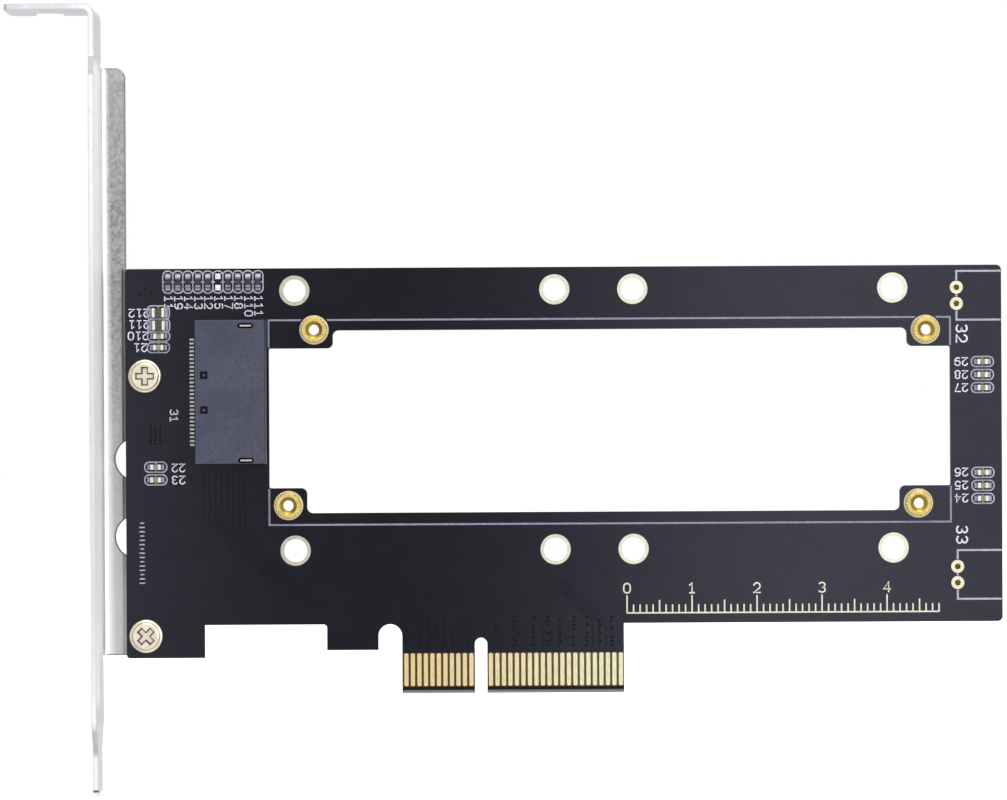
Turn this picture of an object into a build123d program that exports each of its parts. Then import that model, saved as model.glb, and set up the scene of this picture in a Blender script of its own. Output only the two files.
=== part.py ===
from build123d import *
import os

os.makedirs("parts", exist_ok=True)

# An adapter card that holds a ruler-shaped solid state drive in an expansion slot.
# Millimetres. X runs from the slot bracket to the far end of the card and Z runs up.
# The parts side of the board faces -Y. The origin is the key notch of the gold edge,
# on its lower edge and at the middle of the board's thickness.

# Board sheet
board_thickness = 1.6
card_bottom = 10.65  # lower edge of the card above the ends of the gold contacts
board_top = 65.5
outer_corner_radius = 0.8
foot_corner_radius = 0.5

# Gold edge of the board
contact_pitch = 1.0
short_side_count = 11
long_side_count = 21
first_contact_offset = 1.5  # from the middle of the key notch to the first contact
contact_width = 0.64
contact_bottom = 1.1
contact_length = 5.05
contact_corner_radius = 0.25
contact_side_margin = 0.31
contact_long_end_margin = 0.18
key_notch_width = 1.9
key_notch_height = 8.5
bevel_height = 0.5
bevel_depth = 0.3

# Lower edge of the board, left of the gold edge
relief_width = 3.65
hook_width = 7.9
hook_bottom = 6.7
foot_width = 12.0
foot_bottom = 5.6

# Drive place, the window under it and the strip of board beyond it
drive_left = -32.45
drive_length = 104.85
drive_width = 31.5
drive_below_top = 8.0
end_strip_width = 7.9
window_inset_top = 1.6
window_inset_bottom = 1.8
window_corner_radius = 0.9
ear_edge_radius = 0.25
ear_side_margin = 0.6  # from a standoff's ring to the end of its ear, along X
drive_board_thickness = 1.57

# Plated holes
plating = 0.05
fan_hole_pitch = 40.0
fan_gap = 12.0
first_fan_inset = 4.0
last_fan_inset = 8.5
fan_edge_distance = 3.45
fan_hole_diameter = 3.5
fan_ring_diameter = 4.65
header_hole_diameter = 0.9
header_ring_diameter = 2.0
header_pitch = 2.5
header_end_distance = 6.9
header_top_distance = 3.45
header_bottom_distance = 5.95
header_tent = 0.12  # film of mask that closes the header holes at the back

# Standoffs for the drive, each in a corner of the drive's outline: upper left, upper right,
# lower left and lower right. Each has its inset along X, its inset along Z, and the width of
# board that its ear leaves above or below its ring.
standoff_corners = [
    (7.0, 1.5, 0.6),
    (3.8, 1.9, 0.3),
    (2.95, 3.0, 0.4),
    (5.0, 2.9, 0.45),
]
standoff_height = 2.0
standoff_diameter = 4.0
standoff_shank_diameter = 2.8
standoff_thread_diameter = 1.6
standoff_countersink_diameter = 2.7
standoff_ring_diameter = 4.5
standoff_shank_clearance = 0.05
standoff_edge_chamfer = 0.2
standoff_back_recess = 0.2

# Drive connector
housing_length = 10.9
housing_width = 22.2
housing_height = 5.3
housing_drive_gap = 0.35
housing_below_top = 7.9
terminal_count = 28
terminal_pitch = 0.6
terminal_width = 0.3
terminal_thickness = 0.2
terminal_side_clearance = 0.05
terminal_rise = 0.3  # from the slot's face to the resting part of a terminal
terminal_dip = 0.15  # how far a terminal's bow stands into the slot
terminal_tail = 0.85
terminal_tip_setback = 1.1  # from the housing's mouth
terminal_bow_setback = 2.4
terminal_rest_setback = 4.6
slot_clearance = 0.13
slot_depth = 6.9
slot_side_margin = 1.2
slot_lead_in = 0.35
chamber_height = 0.75
chamber_front_wall = 0.7
chamber_end_clearance = 0.1
upper_leg_inset = 0.25
lower_leg_setback = 0.75  # from the slot's end
well_length = 1.3
pad_past_foot = 0.1
lock_opening_length = 2.45
lock_opening_width = 0.8
lock_inset_from_mouth = 3.0
lock_inset_from_top = 0.95
lock_inset_from_bottom = 0.62
lock_clearance = 0.1
lock_leg_length = 1.2
lock_hole_clearance = 0.15
lock_top_recess = 0.3
lock_reach = 0.5
lock_blade_setback = 0.5
lock_blade_narrowing = 0.34
lock_solder_rim = 0.45
lock_solder_height = 0.4
lock_solder_slope = 35
index_mark_size = 1.15
index_mark_line = 0.38
index_mark_depth = 0.2
index_mark_inset = 1.48
index_mark_upper = 2.6
index_mark_pitch = 5.35
housing_edge_chamfer = 0.2

# Chips: resistors stand upright, capacitors lie across
small_chip_length = 1.6
small_chip_width = 0.8
large_chip_length = 1.9
large_chip_width = 1.4
resistor_height = 0.45
capacitor_height = 0.8
resistor_cap_length = 0.3
capacitor_cap_length = 0.42
pad_thickness = 0.05
pad_tuck = 0.35  # how far a pad reaches in under its chip
pad_reach = 0.5  # how far a pad reaches out past its chip
solder_climb = 0.6  # share of the chip's height that the solder climbs
solder_run = 0.33  # from the chip's end to the foot of its solder
resistor_count = 10
bare_resistor = 5
resistor_pitch = 1.54
resistor_start = 6.6
resistor_below_top = 2.05
capacitor_pitch = 2.0
chip_area = 10.8  # from the drive connector to the bracket end of the board

# Capacitors by their distance from an end of the board and from its top
large_capacitor_insets = [(5.1, 6.75), (5.15, 8.7)]
left_capacitor_insets = [(5.15, 10.35), (5.1, 12.1), (4.6, 30.5), (4.6, 32.45)]
right_column_inset = 2.95
right_column_starts = [14.9, 31.95]
right_column_count = 3

# Slot bracket, folded from sheet
sheet = 0.86
bend_inner_radius = 0.9
bracket_gap = 3.7  # from the end of the board to the inner face of the bracket
bracket_width = 18.42
bracket_height = 120.0
bracket_top = 105.5
bracket_foot_reach = 12.9
bracket_foot_corner = 2.0
notch_width = 4.4
notch_depth = 6.7
notch_centre = 6.8
near_edge_step = 1.0
near_edge_step_drop = 10.9
near_edge_step_height = 3.05
bend_relief = 0.8
tongue_width = 10.2
tongue_length = 6.5
tongue_shoulder = 4.2
tongue_tip_corner = 1.0
flange_top_drop = 9.0
flange_corner_radius = 1.6
flange_rise = 0.45
flange_lap = 0.1  # how far the flange reaches behind the board
lower_tab_height = 6.95
upper_tab_height = 7.7
tab_past_screw = 3.0
tab_corner_radius = 1.5
scallop_radius = 3.25
scallop_offset = 1.45
upper_scallop_below_screw = 12.75
scallop_pitch = 11.95

# Bracket screws
screw_inset = 3.0
upper_screw_below_top = 16.5
lower_screw_above_foot = 3.4
screw_diameter = 2.9
screw_hole_clearance = 0.15
tab_thread_clearance = 0.05
screw_head_diameter = 5.2
screw_crown_diameter = 4.3
screw_flange_height = 0.8
screw_head_height = 1.3
screw_recess_length = 2.9
screw_recess_width = 1.05
screw_recess_depth = 0.85
screw_recess_taper = 15
screw_rim_round = 0.4
screw_crown_round = 0.3
screw_end_chamfer = 0.3
screw_past_tab = 1.1

# Printed lines
ink = 0.03
drive_line = 0.28
header_line = 0.3
chip_line = 0.2
print_gap = 0.25
header_print_gap = 0.1
header_outline_height = 7.5
small_outline_margin_long = 1.0
large_outline_margin_long = 0.85
chip_outline_margin_side = 0.47
chip_outline_corner = 0.8
chip_tick_width = 0.25
chip_tick_length = 0.4
print_to_edge = 0.1

# Places that follow from the sizes above
half_board = board_thickness / 2
drive_right = drive_left + drive_length
board_right = drive_right + end_strip_width
drive_top = board_top - drive_below_top
drive_bottom = drive_top - drive_width
window_top = drive_top - window_inset_top
window_bottom = drive_bottom + window_inset_bottom
mouth = drive_left - housing_drive_gap
housing_rear = mouth - housing_length
housing_top = board_top - housing_below_top
housing_middle = housing_top - housing_width / 2
board_left = housing_rear - chip_area
contact_tab_left = -(first_contact_offset + (short_side_count - 1) * contact_pitch
                     + contact_width / 2 + contact_side_margin)
contact_tab_right = (first_contact_offset + (long_side_count - 1) * contact_pitch
                     + contact_width / 2 + contact_long_end_margin)
hook_right = contact_tab_left - relief_width
hook_left = hook_right - hook_width
foot_right = board_left + foot_width

fan_stride = fan_hole_pitch + fan_gap
fan_room = drive_length - first_fan_inset - last_fan_inset + fan_gap
fan_count = int(fan_room // fan_stride)
fan_top_row = board_top - fan_edge_distance
fan_rows = [fan_top_row, fan_top_row - fan_hole_pitch]
fan_columns = []
for fan in range(fan_count):
    fan_first_column = drive_left + first_fan_inset + fan * fan_stride
    fan_columns += [fan_first_column, fan_first_column + fan_hole_pitch]
fan_holes = [(x, z) for x in fan_columns for z in fan_rows]

header_x = board_right - header_end_distance
upper_header = board_top - header_top_distance
lower_header = card_bottom + header_bottom_distance + header_pitch
header_first_pins = [upper_header, lower_header]
header_holes = [(header_x, z - pin * header_pitch) for z in header_first_pins for pin in (0, 1)]

# Each ear is a rectangle of board in a corner of the window, round its standoff
standoff_places = []
ears = []
for corner_number, (inset_x, inset_z, ear_rim) in enumerate(standoff_corners):
    at_left = corner_number % 2 == 0
    at_top = corner_number < 2
    drive_x, step_x = (drive_left, 1) if at_left else (drive_right, -1)
    drive_z, step_z = (drive_top, -1) if at_top else (drive_bottom, 1)
    ear_z = window_top if at_top else window_bottom
    ring_radius = standoff_ring_diameter / 2
    standoff_places.append((drive_x + step_x * inset_x, drive_z + step_z * inset_z))
    ear_end_x = drive_x + step_x * (inset_x + ring_radius + ear_side_margin)
    ear_end_z = drive_z + step_z * (inset_z + ring_radius + ear_rim)
    ears.append((drive_x, ear_z, ear_end_x, ear_end_z))

screw_x = board_left + screw_inset
upper_screw = board_top - upper_screw_below_top
lower_screw = foot_bottom + lower_screw_above_foot
screw_places = [(screw_x, upper_screw, 0), (screw_x, lower_screw, 45)]

slot_middle = standoff_height + drive_board_thickness / 2
slot_height = drive_board_thickness + slot_clearance
slot_floor = slot_middle - slot_height / 2
slot_roof = slot_middle + slot_height / 2
slot_width = terminal_count * terminal_pitch + slot_side_margin
lock_x = mouth - lock_inset_from_mouth
lock_rows = [housing_top - lock_inset_from_top, housing_top - housing_width + lock_inset_from_bottom]
lock_places = [(lock_x, z) for z in lock_rows]
lock_blade_length = lock_opening_length - 2 * lock_clearance - lock_blade_setback
lock_blade_width = lock_opening_width - 2 * lock_clearance - lock_blade_narrowing

resistor_row = board_top - resistor_below_top
resistor_columns = [board_left + resistor_start + n * resistor_pitch for n in range(resistor_count)]
fitted_resistors = [(x, resistor_row) for n, x in enumerate(resistor_columns) if n != bare_resistor]
bare_resistor_place = (resistor_columns[bare_resistor], resistor_row)
resistor_places = [(x, resistor_row) for x in resistor_columns]

large_capacitors = [(board_left + x, board_top - z) for x, z in large_capacitor_insets]
small_capacitors = [(board_left + x, board_top - z) for x, z in left_capacitor_insets]
right_column = board_right - right_column_inset
for start in right_column_starts:
    for n in range(right_column_count):
        small_capacitors.append((right_column, board_top - start - n * capacitor_pitch))

plate_inner = board_left - bracket_gap
plate_outer = plate_inner - sheet
bend_outer_radius = bend_inner_radius + sheet
flange_back = half_board + sheet
near_edge = flange_back - bracket_width
bracket_bottom = bracket_top - bracket_height
flange_top = bracket_top - flange_top_drop
flange_bottom = foot_bottom + flange_rise
flange_edge = board_left + flange_lap
bend_start = half_board - bend_inner_radius
foot_end = plate_outer - bracket_foot_reach
notch_x = plate_outer - notch_centre
tab_edge = screw_x + tab_past_screw

front_face = Plane.XZ.offset(half_board)
back_face = Plane.XZ.offset(-half_board)


def span(low_x, low_z, high_x, high_z, mode=Mode.ADD):
    """Draw a rectangle from its lower left to its upper right corner."""
    with Locations(((low_x + high_x) / 2, (low_z + high_z) / 2)):
        Rectangle(high_x - low_x, high_z - low_z, mode=mode)


def corner(sketch, x, z):
    """Pick the corner of a sketch that lies nearest to a point."""
    return sketch.vertices().sort_by_distance(Vector(x, z, 0))[0]


def side_section(z):
    """Plane across the board at height z: its x is X, its y is the height above the board."""
    return Plane(origin=(0, -half_board, z), x_dir=(1, 0, 0), z_dir=(0, 0, -1))


# Circuit board: one sheet with its outline, window and holes routed and drilled through
with BuildPart() as circuit_board:
    with BuildSketch(back_face) as outline:
        span(board_left, card_bottom, board_right, board_top)
        span(board_left, foot_bottom, foot_right, card_bottom + 1)
        span(hook_left, hook_bottom, hook_right + 1, card_bottom + 1)
        span(hook_right, card_bottom - relief_width, contact_tab_left, card_bottom)
        span(contact_tab_left, 0, contact_tab_right, card_bottom + 1)
        with Locations(((hook_right + contact_tab_left) / 2, card_bottom - relief_width)):
            SlotCenterToCenter(relief_width, relief_width, rotation=90, mode=Mode.SUBTRACT)
        span(hook_right, 0, contact_tab_left, card_bottom - relief_width, mode=Mode.SUBTRACT)
        span(-key_notch_width / 2, 0, key_notch_width / 2,
             key_notch_height - key_notch_width / 2, mode=Mode.SUBTRACT)
        with Locations((0, key_notch_height - key_notch_width / 2)):
            Circle(key_notch_width / 2, mode=Mode.SUBTRACT)
        for x, z in ((board_right, board_top), (board_right, card_bottom)):
            fillet(corner(outline, x, z), outer_corner_radius)
        for x, z in ((board_left, foot_bottom), (board_left, board_top), (hook_left, card_bottom)):
            fillet(corner(outline, x, z), foot_corner_radius)
    extrude(amount=board_thickness)

    with BuildSketch(back_face) as window:
        span(drive_left, window_bottom, drive_right, window_top)
        for x, z, end_x, end_z in ears:
            span(min(x, end_x), min(z, end_z), max(x, end_x), max(z, end_z), mode=Mode.SUBTRACT)
        for x, z, end_x, end_z in ears:
            fillet(corner(window, x, end_z), ear_edge_radius)
            fillet(corner(window, end_x, end_z), window_corner_radius)
            fillet(corner(window, end_x, z), window_corner_radius)
    extrude(amount=board_thickness, mode=Mode.SUBTRACT)

    with BuildSketch(back_face):
        with Locations(*fan_holes):
            Circle(fan_hole_diameter / 2 + plating)
        with Locations(*standoff_places):
            Circle(standoff_shank_diameter / 2 + standoff_shank_clearance + plating)
        with Locations(*[(x, z) for x, z, turn in screw_places]):
            Circle(screw_diameter / 2 + screw_hole_clearance)
        with Locations(*lock_places):
            SlotOverall(lock_leg_length + 2 * lock_hole_clearance,
                        lock_blade_width + 2 * lock_hole_clearance)
    extrude(amount=board_thickness, mode=Mode.SUBTRACT)

    with BuildSketch(front_face):
        with Locations(*header_holes):
            Circle(header_hole_diameter / 2 + plating)
    extrude(amount=header_tent - board_thickness, mode=Mode.SUBTRACT)

    # The gold edge is bevelled on both faces so that it enters its slot
    with BuildSketch(Plane.YZ.offset(contact_tab_left)) as bevels:
        for side in (-1, 1):
            with BuildLine():
                Polyline((side * half_board, 0), (side * half_board, bevel_height),
                         (side * (half_board - bevel_depth), 0), close=True)
            make_face()
    extrude(amount=contact_tab_right - contact_tab_left, mode=Mode.SUBTRACT)

circuit_board.part.label = "circuit_board"
export_step(circuit_board.part, "parts/circuit_board.step")


# Gold edge contacts, the same rows on both faces
contact_columns = [-(first_contact_offset + n * contact_pitch) for n in range(short_side_count)]
contact_columns += [first_contact_offset + n * contact_pitch for n in range(long_side_count)]


with BuildPart() as edge_contacts_front:
    with BuildSketch(front_face):
        with Locations(*[(x, contact_bottom + contact_length / 2) for x in contact_columns]):
            Rectangle(contact_width, contact_length)
    extrude(amount=plating)
    fillet(edge_contacts_front.edges().filter_by(Axis.Y), contact_corner_radius)

edge_contacts_front.part.label = "edge_contacts_front"
export_step(edge_contacts_front.part, "parts/edge_contacts_front.step")

with BuildPart() as edge_contacts_back:
    add(mirror(edge_contacts_front.part, about=Plane.XZ, mode=Mode.PRIVATE))

edge_contacts_back.part.label = "edge_contacts_back"
export_step(edge_contacts_back.part, "parts/edge_contacts_back.step")


def plated_sleeves(places, hole_radius, ring_radius):
    """Line drilled holes with a barrel and a ring on each face."""
    with BuildSketch(back_face.offset(-plating)) as barrels:
        with Locations(*places):
            Circle(hole_radius + plating)
            Circle(hole_radius, mode=Mode.SUBTRACT)
    extrude(barrels.sketch, amount=board_thickness + 2 * plating)
    for plane in (front_face, back_face.offset(-plating)):
        with BuildSketch(plane) as rings:
            with Locations(*places):
                Circle(ring_radius)
                Circle(hole_radius, mode=Mode.SUBTRACT)
        extrude(rings.sketch, amount=plating)


with BuildPart() as fan_hole_sleeves:
    plated_sleeves(fan_holes, fan_hole_diameter / 2, fan_ring_diameter / 2)

fan_hole_sleeves.part.label = "fan_hole_sleeves"
export_step(fan_hole_sleeves.part, "parts/fan_hole_sleeves.step")

with BuildPart() as standoff_sleeves:
    plated_sleeves(standoff_places, standoff_shank_diameter / 2 + standoff_shank_clearance,
                   standoff_ring_diameter / 2)

standoff_sleeves.part.label = "standoff_sleeves"
export_step(standoff_sleeves.part, "parts/standoff_sleeves.step")

# The header holes are closed at the back by the mask, so their sleeves end on it
with BuildPart() as header_sleeves:
    with BuildSketch(front_face.offset(header_tent - board_thickness)):
        with Locations(*header_holes):
            Circle(header_hole_diameter / 2 + plating)
            Circle(header_hole_diameter / 2, mode=Mode.SUBTRACT)
    extrude(amount=board_thickness - header_tent + plating)
    with BuildSketch(front_face):
        with Locations(*header_holes):
            Circle(header_ring_diameter / 2)
            Circle(header_hole_diameter / 2, mode=Mode.SUBTRACT)
    extrude(amount=plating)

header_sleeves.part.label = "header_sleeves"
export_step(header_sleeves.part, "parts/header_sleeves.step")


# Standoffs: turned brass, with a shank soldered into the board and a tapped hole
thread_radius = standoff_thread_diameter / 2
sink_radius = standoff_countersink_diameter / 2
shank_radius = standoff_shank_diameter / 2
body_radius = standoff_diameter / 2
seat = -half_board - plating
crown = -half_board - standoff_height
shank_end = half_board - standoff_back_recess

with BuildPart() as drive_standoffs:
    for x, z in standoff_places:
        with BuildSketch(Plane(origin=(x, 0, z), x_dir=(1, 0, 0), z_dir=(0, 0, 1))):
            with BuildLine():
                Polyline(
                    (thread_radius, shank_end),
                    (shank_radius, shank_end),
                    (shank_radius, seat),
                    (body_radius, seat),
                    (body_radius, crown + standoff_edge_chamfer),
                    (body_radius - standoff_edge_chamfer, crown),
                    (sink_radius, crown),
                    (thread_radius, crown + sink_radius - thread_radius),
                    close=True,
                )
            make_face()
        revolve(axis=Axis((x, 0, z), (0, 1, 0)))

drive_standoffs.part.label = "drive_standoffs"
export_step(drive_standoffs.part, "parts/drive_standoffs.step")


# Drive connector housing: a moulded block with the drive's slot, a chamber for each
# terminal above and below it, and an opening at each end for a board lock
terminal_rows = [housing_middle + (n - (terminal_count - 1) / 2) * terminal_pitch
                 for n in range(terminal_count)]
chamber_width = terminal_width + 2 * terminal_side_clearance
chamber_front = mouth - chamber_front_wall
upper_leg = housing_rear + upper_leg_inset
upper_leg_front = upper_leg + terminal_thickness
lower_leg = mouth - slot_depth - lower_leg_setback
lower_leg_front = lower_leg + terminal_thickness


def chamber_cuts(boxes):
    """Cut rows of equal boxes, one at each terminal, given as spans of X and height."""
    for low_x, low_h, high_x, high_h in boxes:
        centre_y = -half_board - (low_h + high_h) / 2
        with Locations(*[((low_x + high_x) / 2, centre_y, z) for z in terminal_rows]):
            Box(high_x - low_x, high_h - low_h, chamber_width, mode=Mode.SUBTRACT)


with BuildPart() as drive_connector_housing:
    with BuildSketch(front_face):
        span(housing_rear, housing_top - housing_width, mouth, housing_top)
    extrude(amount=housing_height)
    top_edges = drive_connector_housing.faces().sort_by(Axis.Y)[0].edges()
    chamfer(top_edges, housing_edge_chamfer)

    with BuildSketch(Plane.YZ.offset(mouth)):
        with Locations((-half_board - slot_middle, housing_middle)):
            Rectangle(slot_height, slot_width)
    extrude(amount=-slot_depth, mode=Mode.SUBTRACT)
    with BuildSketch(Plane.YZ.offset(mouth)):
        with Locations((-half_board - slot_middle, housing_middle)):
            Rectangle(slot_height + 2 * slot_lead_in, slot_width + 2 * slot_lead_in)
    extrude(amount=-slot_lead_in, taper=45, mode=Mode.SUBTRACT)

    with BuildSketch(front_face):
        with Locations(*lock_places):
            SlotOverall(lock_opening_length, lock_opening_width)
    extrude(amount=housing_height, mode=Mode.SUBTRACT)

    index_column = housing_rear + index_mark_inset
    index_row = housing_middle + index_mark_upper
    index_marks = [(index_column, index_row), (index_column, index_row - index_mark_pitch)]
    with BuildSketch(front_face.offset(housing_height)):
        with Locations(*index_marks):
            Rectangle(index_mark_size, index_mark_size)
            Rectangle(index_mark_size - 2 * index_mark_line, index_mark_size - 2 * index_mark_line,
                      mode=Mode.SUBTRACT)
    extrude(amount=-index_mark_depth, mode=Mode.SUBTRACT)

    chamber_cuts([
        (upper_leg - chamber_end_clearance, slot_roof, chamber_front, slot_roof + chamber_height),
        (housing_rear, 0, upper_leg_front + chamber_end_clearance, slot_roof + chamber_height),
        (lower_leg - chamber_end_clearance, slot_floor - chamber_height, chamber_front, slot_floor),
        (lower_leg - well_length, 0, lower_leg_front + chamber_end_clearance, slot_floor),
    ])

drive_connector_housing.part.label = "drive_connector_housing"
export_step(drive_connector_housing.part, "parts/drive_connector_housing.step")


# Terminals: flat springs that bow into the slot, run back, turn down and end in a foot
def terminal_strip(points, z):
    """Make one strip from the line of its lower side, with mitred bends."""
    with BuildSketch(side_section(z)) as strip:
        with BuildLine():
            Polyline(*points)
            offset(amount=terminal_thickness, kind=Kind.INTERSECTION, side=Side.LEFT)
        make_face()
    extrude(strip.sketch, amount=terminal_width / 2, both=True)


tip = mouth - terminal_tip_setback
bow = mouth - terminal_bow_setback
rest = mouth - terminal_rest_setback
roof_run = slot_roof + terminal_rise
floor_run = slot_floor - terminal_rise - terminal_thickness
upper_path = [
    (housing_rear - terminal_tail, pad_thickness),
    (upper_leg_front, pad_thickness),
    (upper_leg_front, roof_run),
    (rest, roof_run),
    (bow, slot_roof - terminal_dip),
    (tip, roof_run),
]
lower_path = [
    (lower_leg_front - terminal_tail, pad_thickness),
    (lower_leg_front, pad_thickness),
    (lower_leg_front, floor_run),
    (rest, floor_run),
    (bow, slot_floor + terminal_dip - terminal_thickness),
    (tip, floor_run),
]

with BuildPart() as upper_terminals:
    for z in terminal_rows:
        terminal_strip(upper_path, z)

upper_terminals.part.label = "upper_terminals"
export_step(upper_terminals.part, "parts/upper_terminals.step")

with BuildPart() as lower_terminals:
    for z in terminal_rows:
        terminal_strip(lower_path, z)

lower_terminals.part.label = "lower_terminals"
export_step(lower_terminals.part, "parts/lower_terminals.step")


# Soldered pads of the connector, one under each terminal's foot
with BuildPart() as terminal_pads:
    with BuildSketch(front_face):
        for low_x, high_x in (
            (housing_rear - terminal_tail - pad_past_foot, upper_leg),
            (lower_leg_front - terminal_tail - pad_past_foot, lower_leg),
        ):
            with Locations(*[((low_x + high_x) / 2, z) for z in terminal_rows]):
                Rectangle(high_x - low_x, terminal_width)
    extrude(amount=pad_thickness)

terminal_pads.part.label = "terminal_pads"
export_step(terminal_pads.part, "parts/terminal_pads.step")


# Board locks: a blade in each end of the housing, with a leg soldered through the board
with BuildPart() as board_locks:
    with BuildSketch(front_face):
        with Locations(*lock_places):
            Rectangle(lock_blade_length, lock_blade_width)
    extrude(amount=housing_height - lock_top_recess)
    with BuildSketch(front_face):
        with Locations(*lock_places):
            Rectangle(lock_leg_length, lock_blade_width)
    extrude(amount=-board_thickness - lock_reach)

board_locks.part.label = "board_locks"
export_step(board_locks.part, "parts/board_locks.step")

with BuildPart() as lock_solder:
    with BuildSketch(back_face):
        with Locations(*lock_places):
            SlotOverall(lock_leg_length + 2 * (lock_hole_clearance + lock_solder_rim),
                        lock_blade_width + 2 * (lock_hole_clearance + lock_solder_rim))
    extrude(amount=-lock_solder_height, taper=lock_solder_slope)
    with BuildSketch(back_face):
        with Locations(*lock_places):
            Rectangle(lock_leg_length, lock_blade_width)
    extrude(amount=-lock_reach, mode=Mode.SUBTRACT)

lock_solder.part.label = "lock_solder"
export_step(lock_solder.part, "parts/lock_solder.step")


# Slot bracket: one sheet folded twice, into a foot at its top and a flange behind the board
tongue_near = near_edge + tongue_shoulder
tongue_far = tongue_near + tongue_width
tongue_top = bracket_bottom + tongue_length
near_shoulder_top = tongue_top + tongue_shoulder
far_shoulder_top = tongue_top + flange_back - tongue_far
step_bottom = bracket_top - near_edge_step_drop
step_top = step_bottom + near_edge_step_height
fold_line = bracket_top - bend_outer_radius
foot_near = near_edge + near_edge_step
foot_bend_x = plate_outer - bend_inner_radius
flange_bend_x = plate_inner + bend_inner_radius
upper_tab_bottom = upper_screw - upper_tab_height / 2
scallops = [(flange_edge + scallop_offset, upper_screw - upper_scallop_below_screw - n * scallop_pitch)
            for n in (0, 1)]

with BuildPart() as slot_bracket:
    # The plate that closes the slot, with its shoulders and its tongue
    with BuildSketch(Plane.YZ.offset(plate_outer)) as plate:
        with BuildLine():
            Polyline(
                (foot_near, fold_line),
                (foot_near, step_top),
                (near_edge, step_bottom),
                (near_edge, near_shoulder_top),
                (tongue_near, tongue_top),
                (tongue_near, bracket_bottom),
                (tongue_far, bracket_bottom),
                (tongue_far, tongue_top),
                (flange_back, far_shoulder_top),
                (flange_back, flange_bottom - bend_relief),
                (bend_start, flange_bottom - bend_relief),
                (bend_start, flange_top + bend_relief),
                (flange_back, flange_top + bend_relief),
                (flange_back, fold_line),
                close=True,
            )
        make_face()
        fillet(plate.vertices().group_by(Axis.Y)[0], tongue_tip_corner)
    extrude(amount=sheet)

    # The foot with its screw notch, and the bend that carries it
    with BuildSketch(Plane.XZ.offset(-flange_back)):
        with BuildLine():
            Line((plate_outer, fold_line), (plate_inner, fold_line))
            CenterArc((foot_bend_x, fold_line), bend_outer_radius, 0, 90)
            Polyline((foot_bend_x, bracket_top), (foot_end, bracket_top),
                     (foot_end, bracket_top - sheet), (foot_bend_x, bracket_top - sheet))
            CenterArc((foot_bend_x, fold_line), bend_inner_radius, 0, 90)
        make_face()
    extrude(amount=flange_back - foot_near)
    fillet(slot_bracket.edges().filter_by(Axis.Z).group_by(Axis.X)[0], bracket_foot_corner)
    with BuildSketch(Plane.XY.offset(bracket_top - sheet)):
        with Locations((notch_x, flange_back)):
            SlotCenterToCenter(2 * (notch_depth - notch_width / 2), notch_width, rotation=90)
    extrude(amount=sheet, mode=Mode.SUBTRACT)

    # The flange behind the board, with the bend that carries it and a tab at each screw
    with BuildSketch(Plane.XY.offset(flange_bottom)):
        with BuildLine():
            CenterArc((flange_bend_x, bend_start), bend_outer_radius, 90, 90)
            CenterArc((flange_bend_x, bend_start), bend_inner_radius, 90, 90)
            Line((flange_bend_x, half_board), (flange_bend_x, flange_back))
            Line((plate_outer, bend_start), (plate_inner, bend_start))
        make_face()
    extrude(amount=flange_top - flange_bottom)
    with BuildSketch(back_face) as flange:
        span(flange_bend_x, flange_bottom, flange_edge, flange_top)
        fillet(corner(flange, flange_edge, flange_top), flange_corner_radius)
        span(flange_bend_x, flange_bottom, tab_edge, flange_bottom + lower_tab_height)
        span(flange_bend_x, upper_tab_bottom, tab_edge, upper_tab_bottom + upper_tab_height)
        for z in (flange_bottom, flange_bottom + lower_tab_height,
                  upper_tab_bottom, upper_tab_bottom + upper_tab_height):
            fillet(corner(flange, tab_edge, z), tab_corner_radius)
        with Locations(*scallops):
            Circle(scallop_radius, mode=Mode.SUBTRACT)
        with Locations(*[(x, z) for x, z, turn in screw_places]):
            Circle(screw_diameter / 2 + tab_thread_clearance, mode=Mode.SUBTRACT)
    extrude(amount=-sheet)

slot_bracket.part.label = "slot_bracket"
export_step(slot_bracket.part, "parts/slot_bracket.step")


# Bracket screws: a wide thin rim, a raised crown with a cross recess, and a plain shank
rim_radius = screw_head_diameter / 2
crown_radius = screw_crown_diameter / 2
stem_radius = screw_diameter / 2
stem_end = flange_back + screw_past_tab
rim_top = -half_board - screw_flange_height
head_top = -half_board - screw_head_height

with BuildPart() as bracket_screws:
    for x, z, turn in screw_places:
        with BuildSketch(Plane(origin=(x, 0, z), x_dir=(1, 0, 0), z_dir=(0, 0, 1))) as half_section:
            with BuildLine():
                Polyline(
                    (0, stem_end),
                    (stem_radius - screw_end_chamfer, stem_end),
                    (stem_radius, stem_end - screw_end_chamfer),
                    (stem_radius, -half_board),
                    (rim_radius, -half_board),
                    (rim_radius, rim_top),
                    (crown_radius, rim_top),
                    (crown_radius, head_top),
                    (0, head_top),
                    close=True,
                )
            make_face()
            fillet(corner(half_section, rim_radius, rim_top), screw_rim_round)
            fillet(corner(half_section, crown_radius, head_top), screw_crown_round)
        revolve(axis=Axis((x, 0, z), (0, 1, 0)))
        with BuildSketch(front_face.offset(screw_head_height)):
            with Locations(Location((x, z), turn)):
                Rectangle(screw_recess_length, screw_recess_width)
                Rectangle(screw_recess_width, screw_recess_length)
        extrude(amount=-screw_recess_depth, taper=screw_recess_taper, mode=Mode.SUBTRACT)

bracket_screws.part.label = "bracket_screws"
export_step(bracket_screws.part, "parts/bracket_screws.step")


# Chips: a ceramic body between two metal end caps, on two soldered pads
def chip_bodies(places, length, width, height, cap, turn):
    """Make the ceramic bodies of a set of equal chips."""
    with BuildSketch(front_face.offset(pad_thickness)) as bodies:
        with Locations(*[Location((x, z), turn) for x, z in places]):
            Rectangle(length - 2 * cap, width)
    extrude(bodies.sketch, amount=height)


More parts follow.
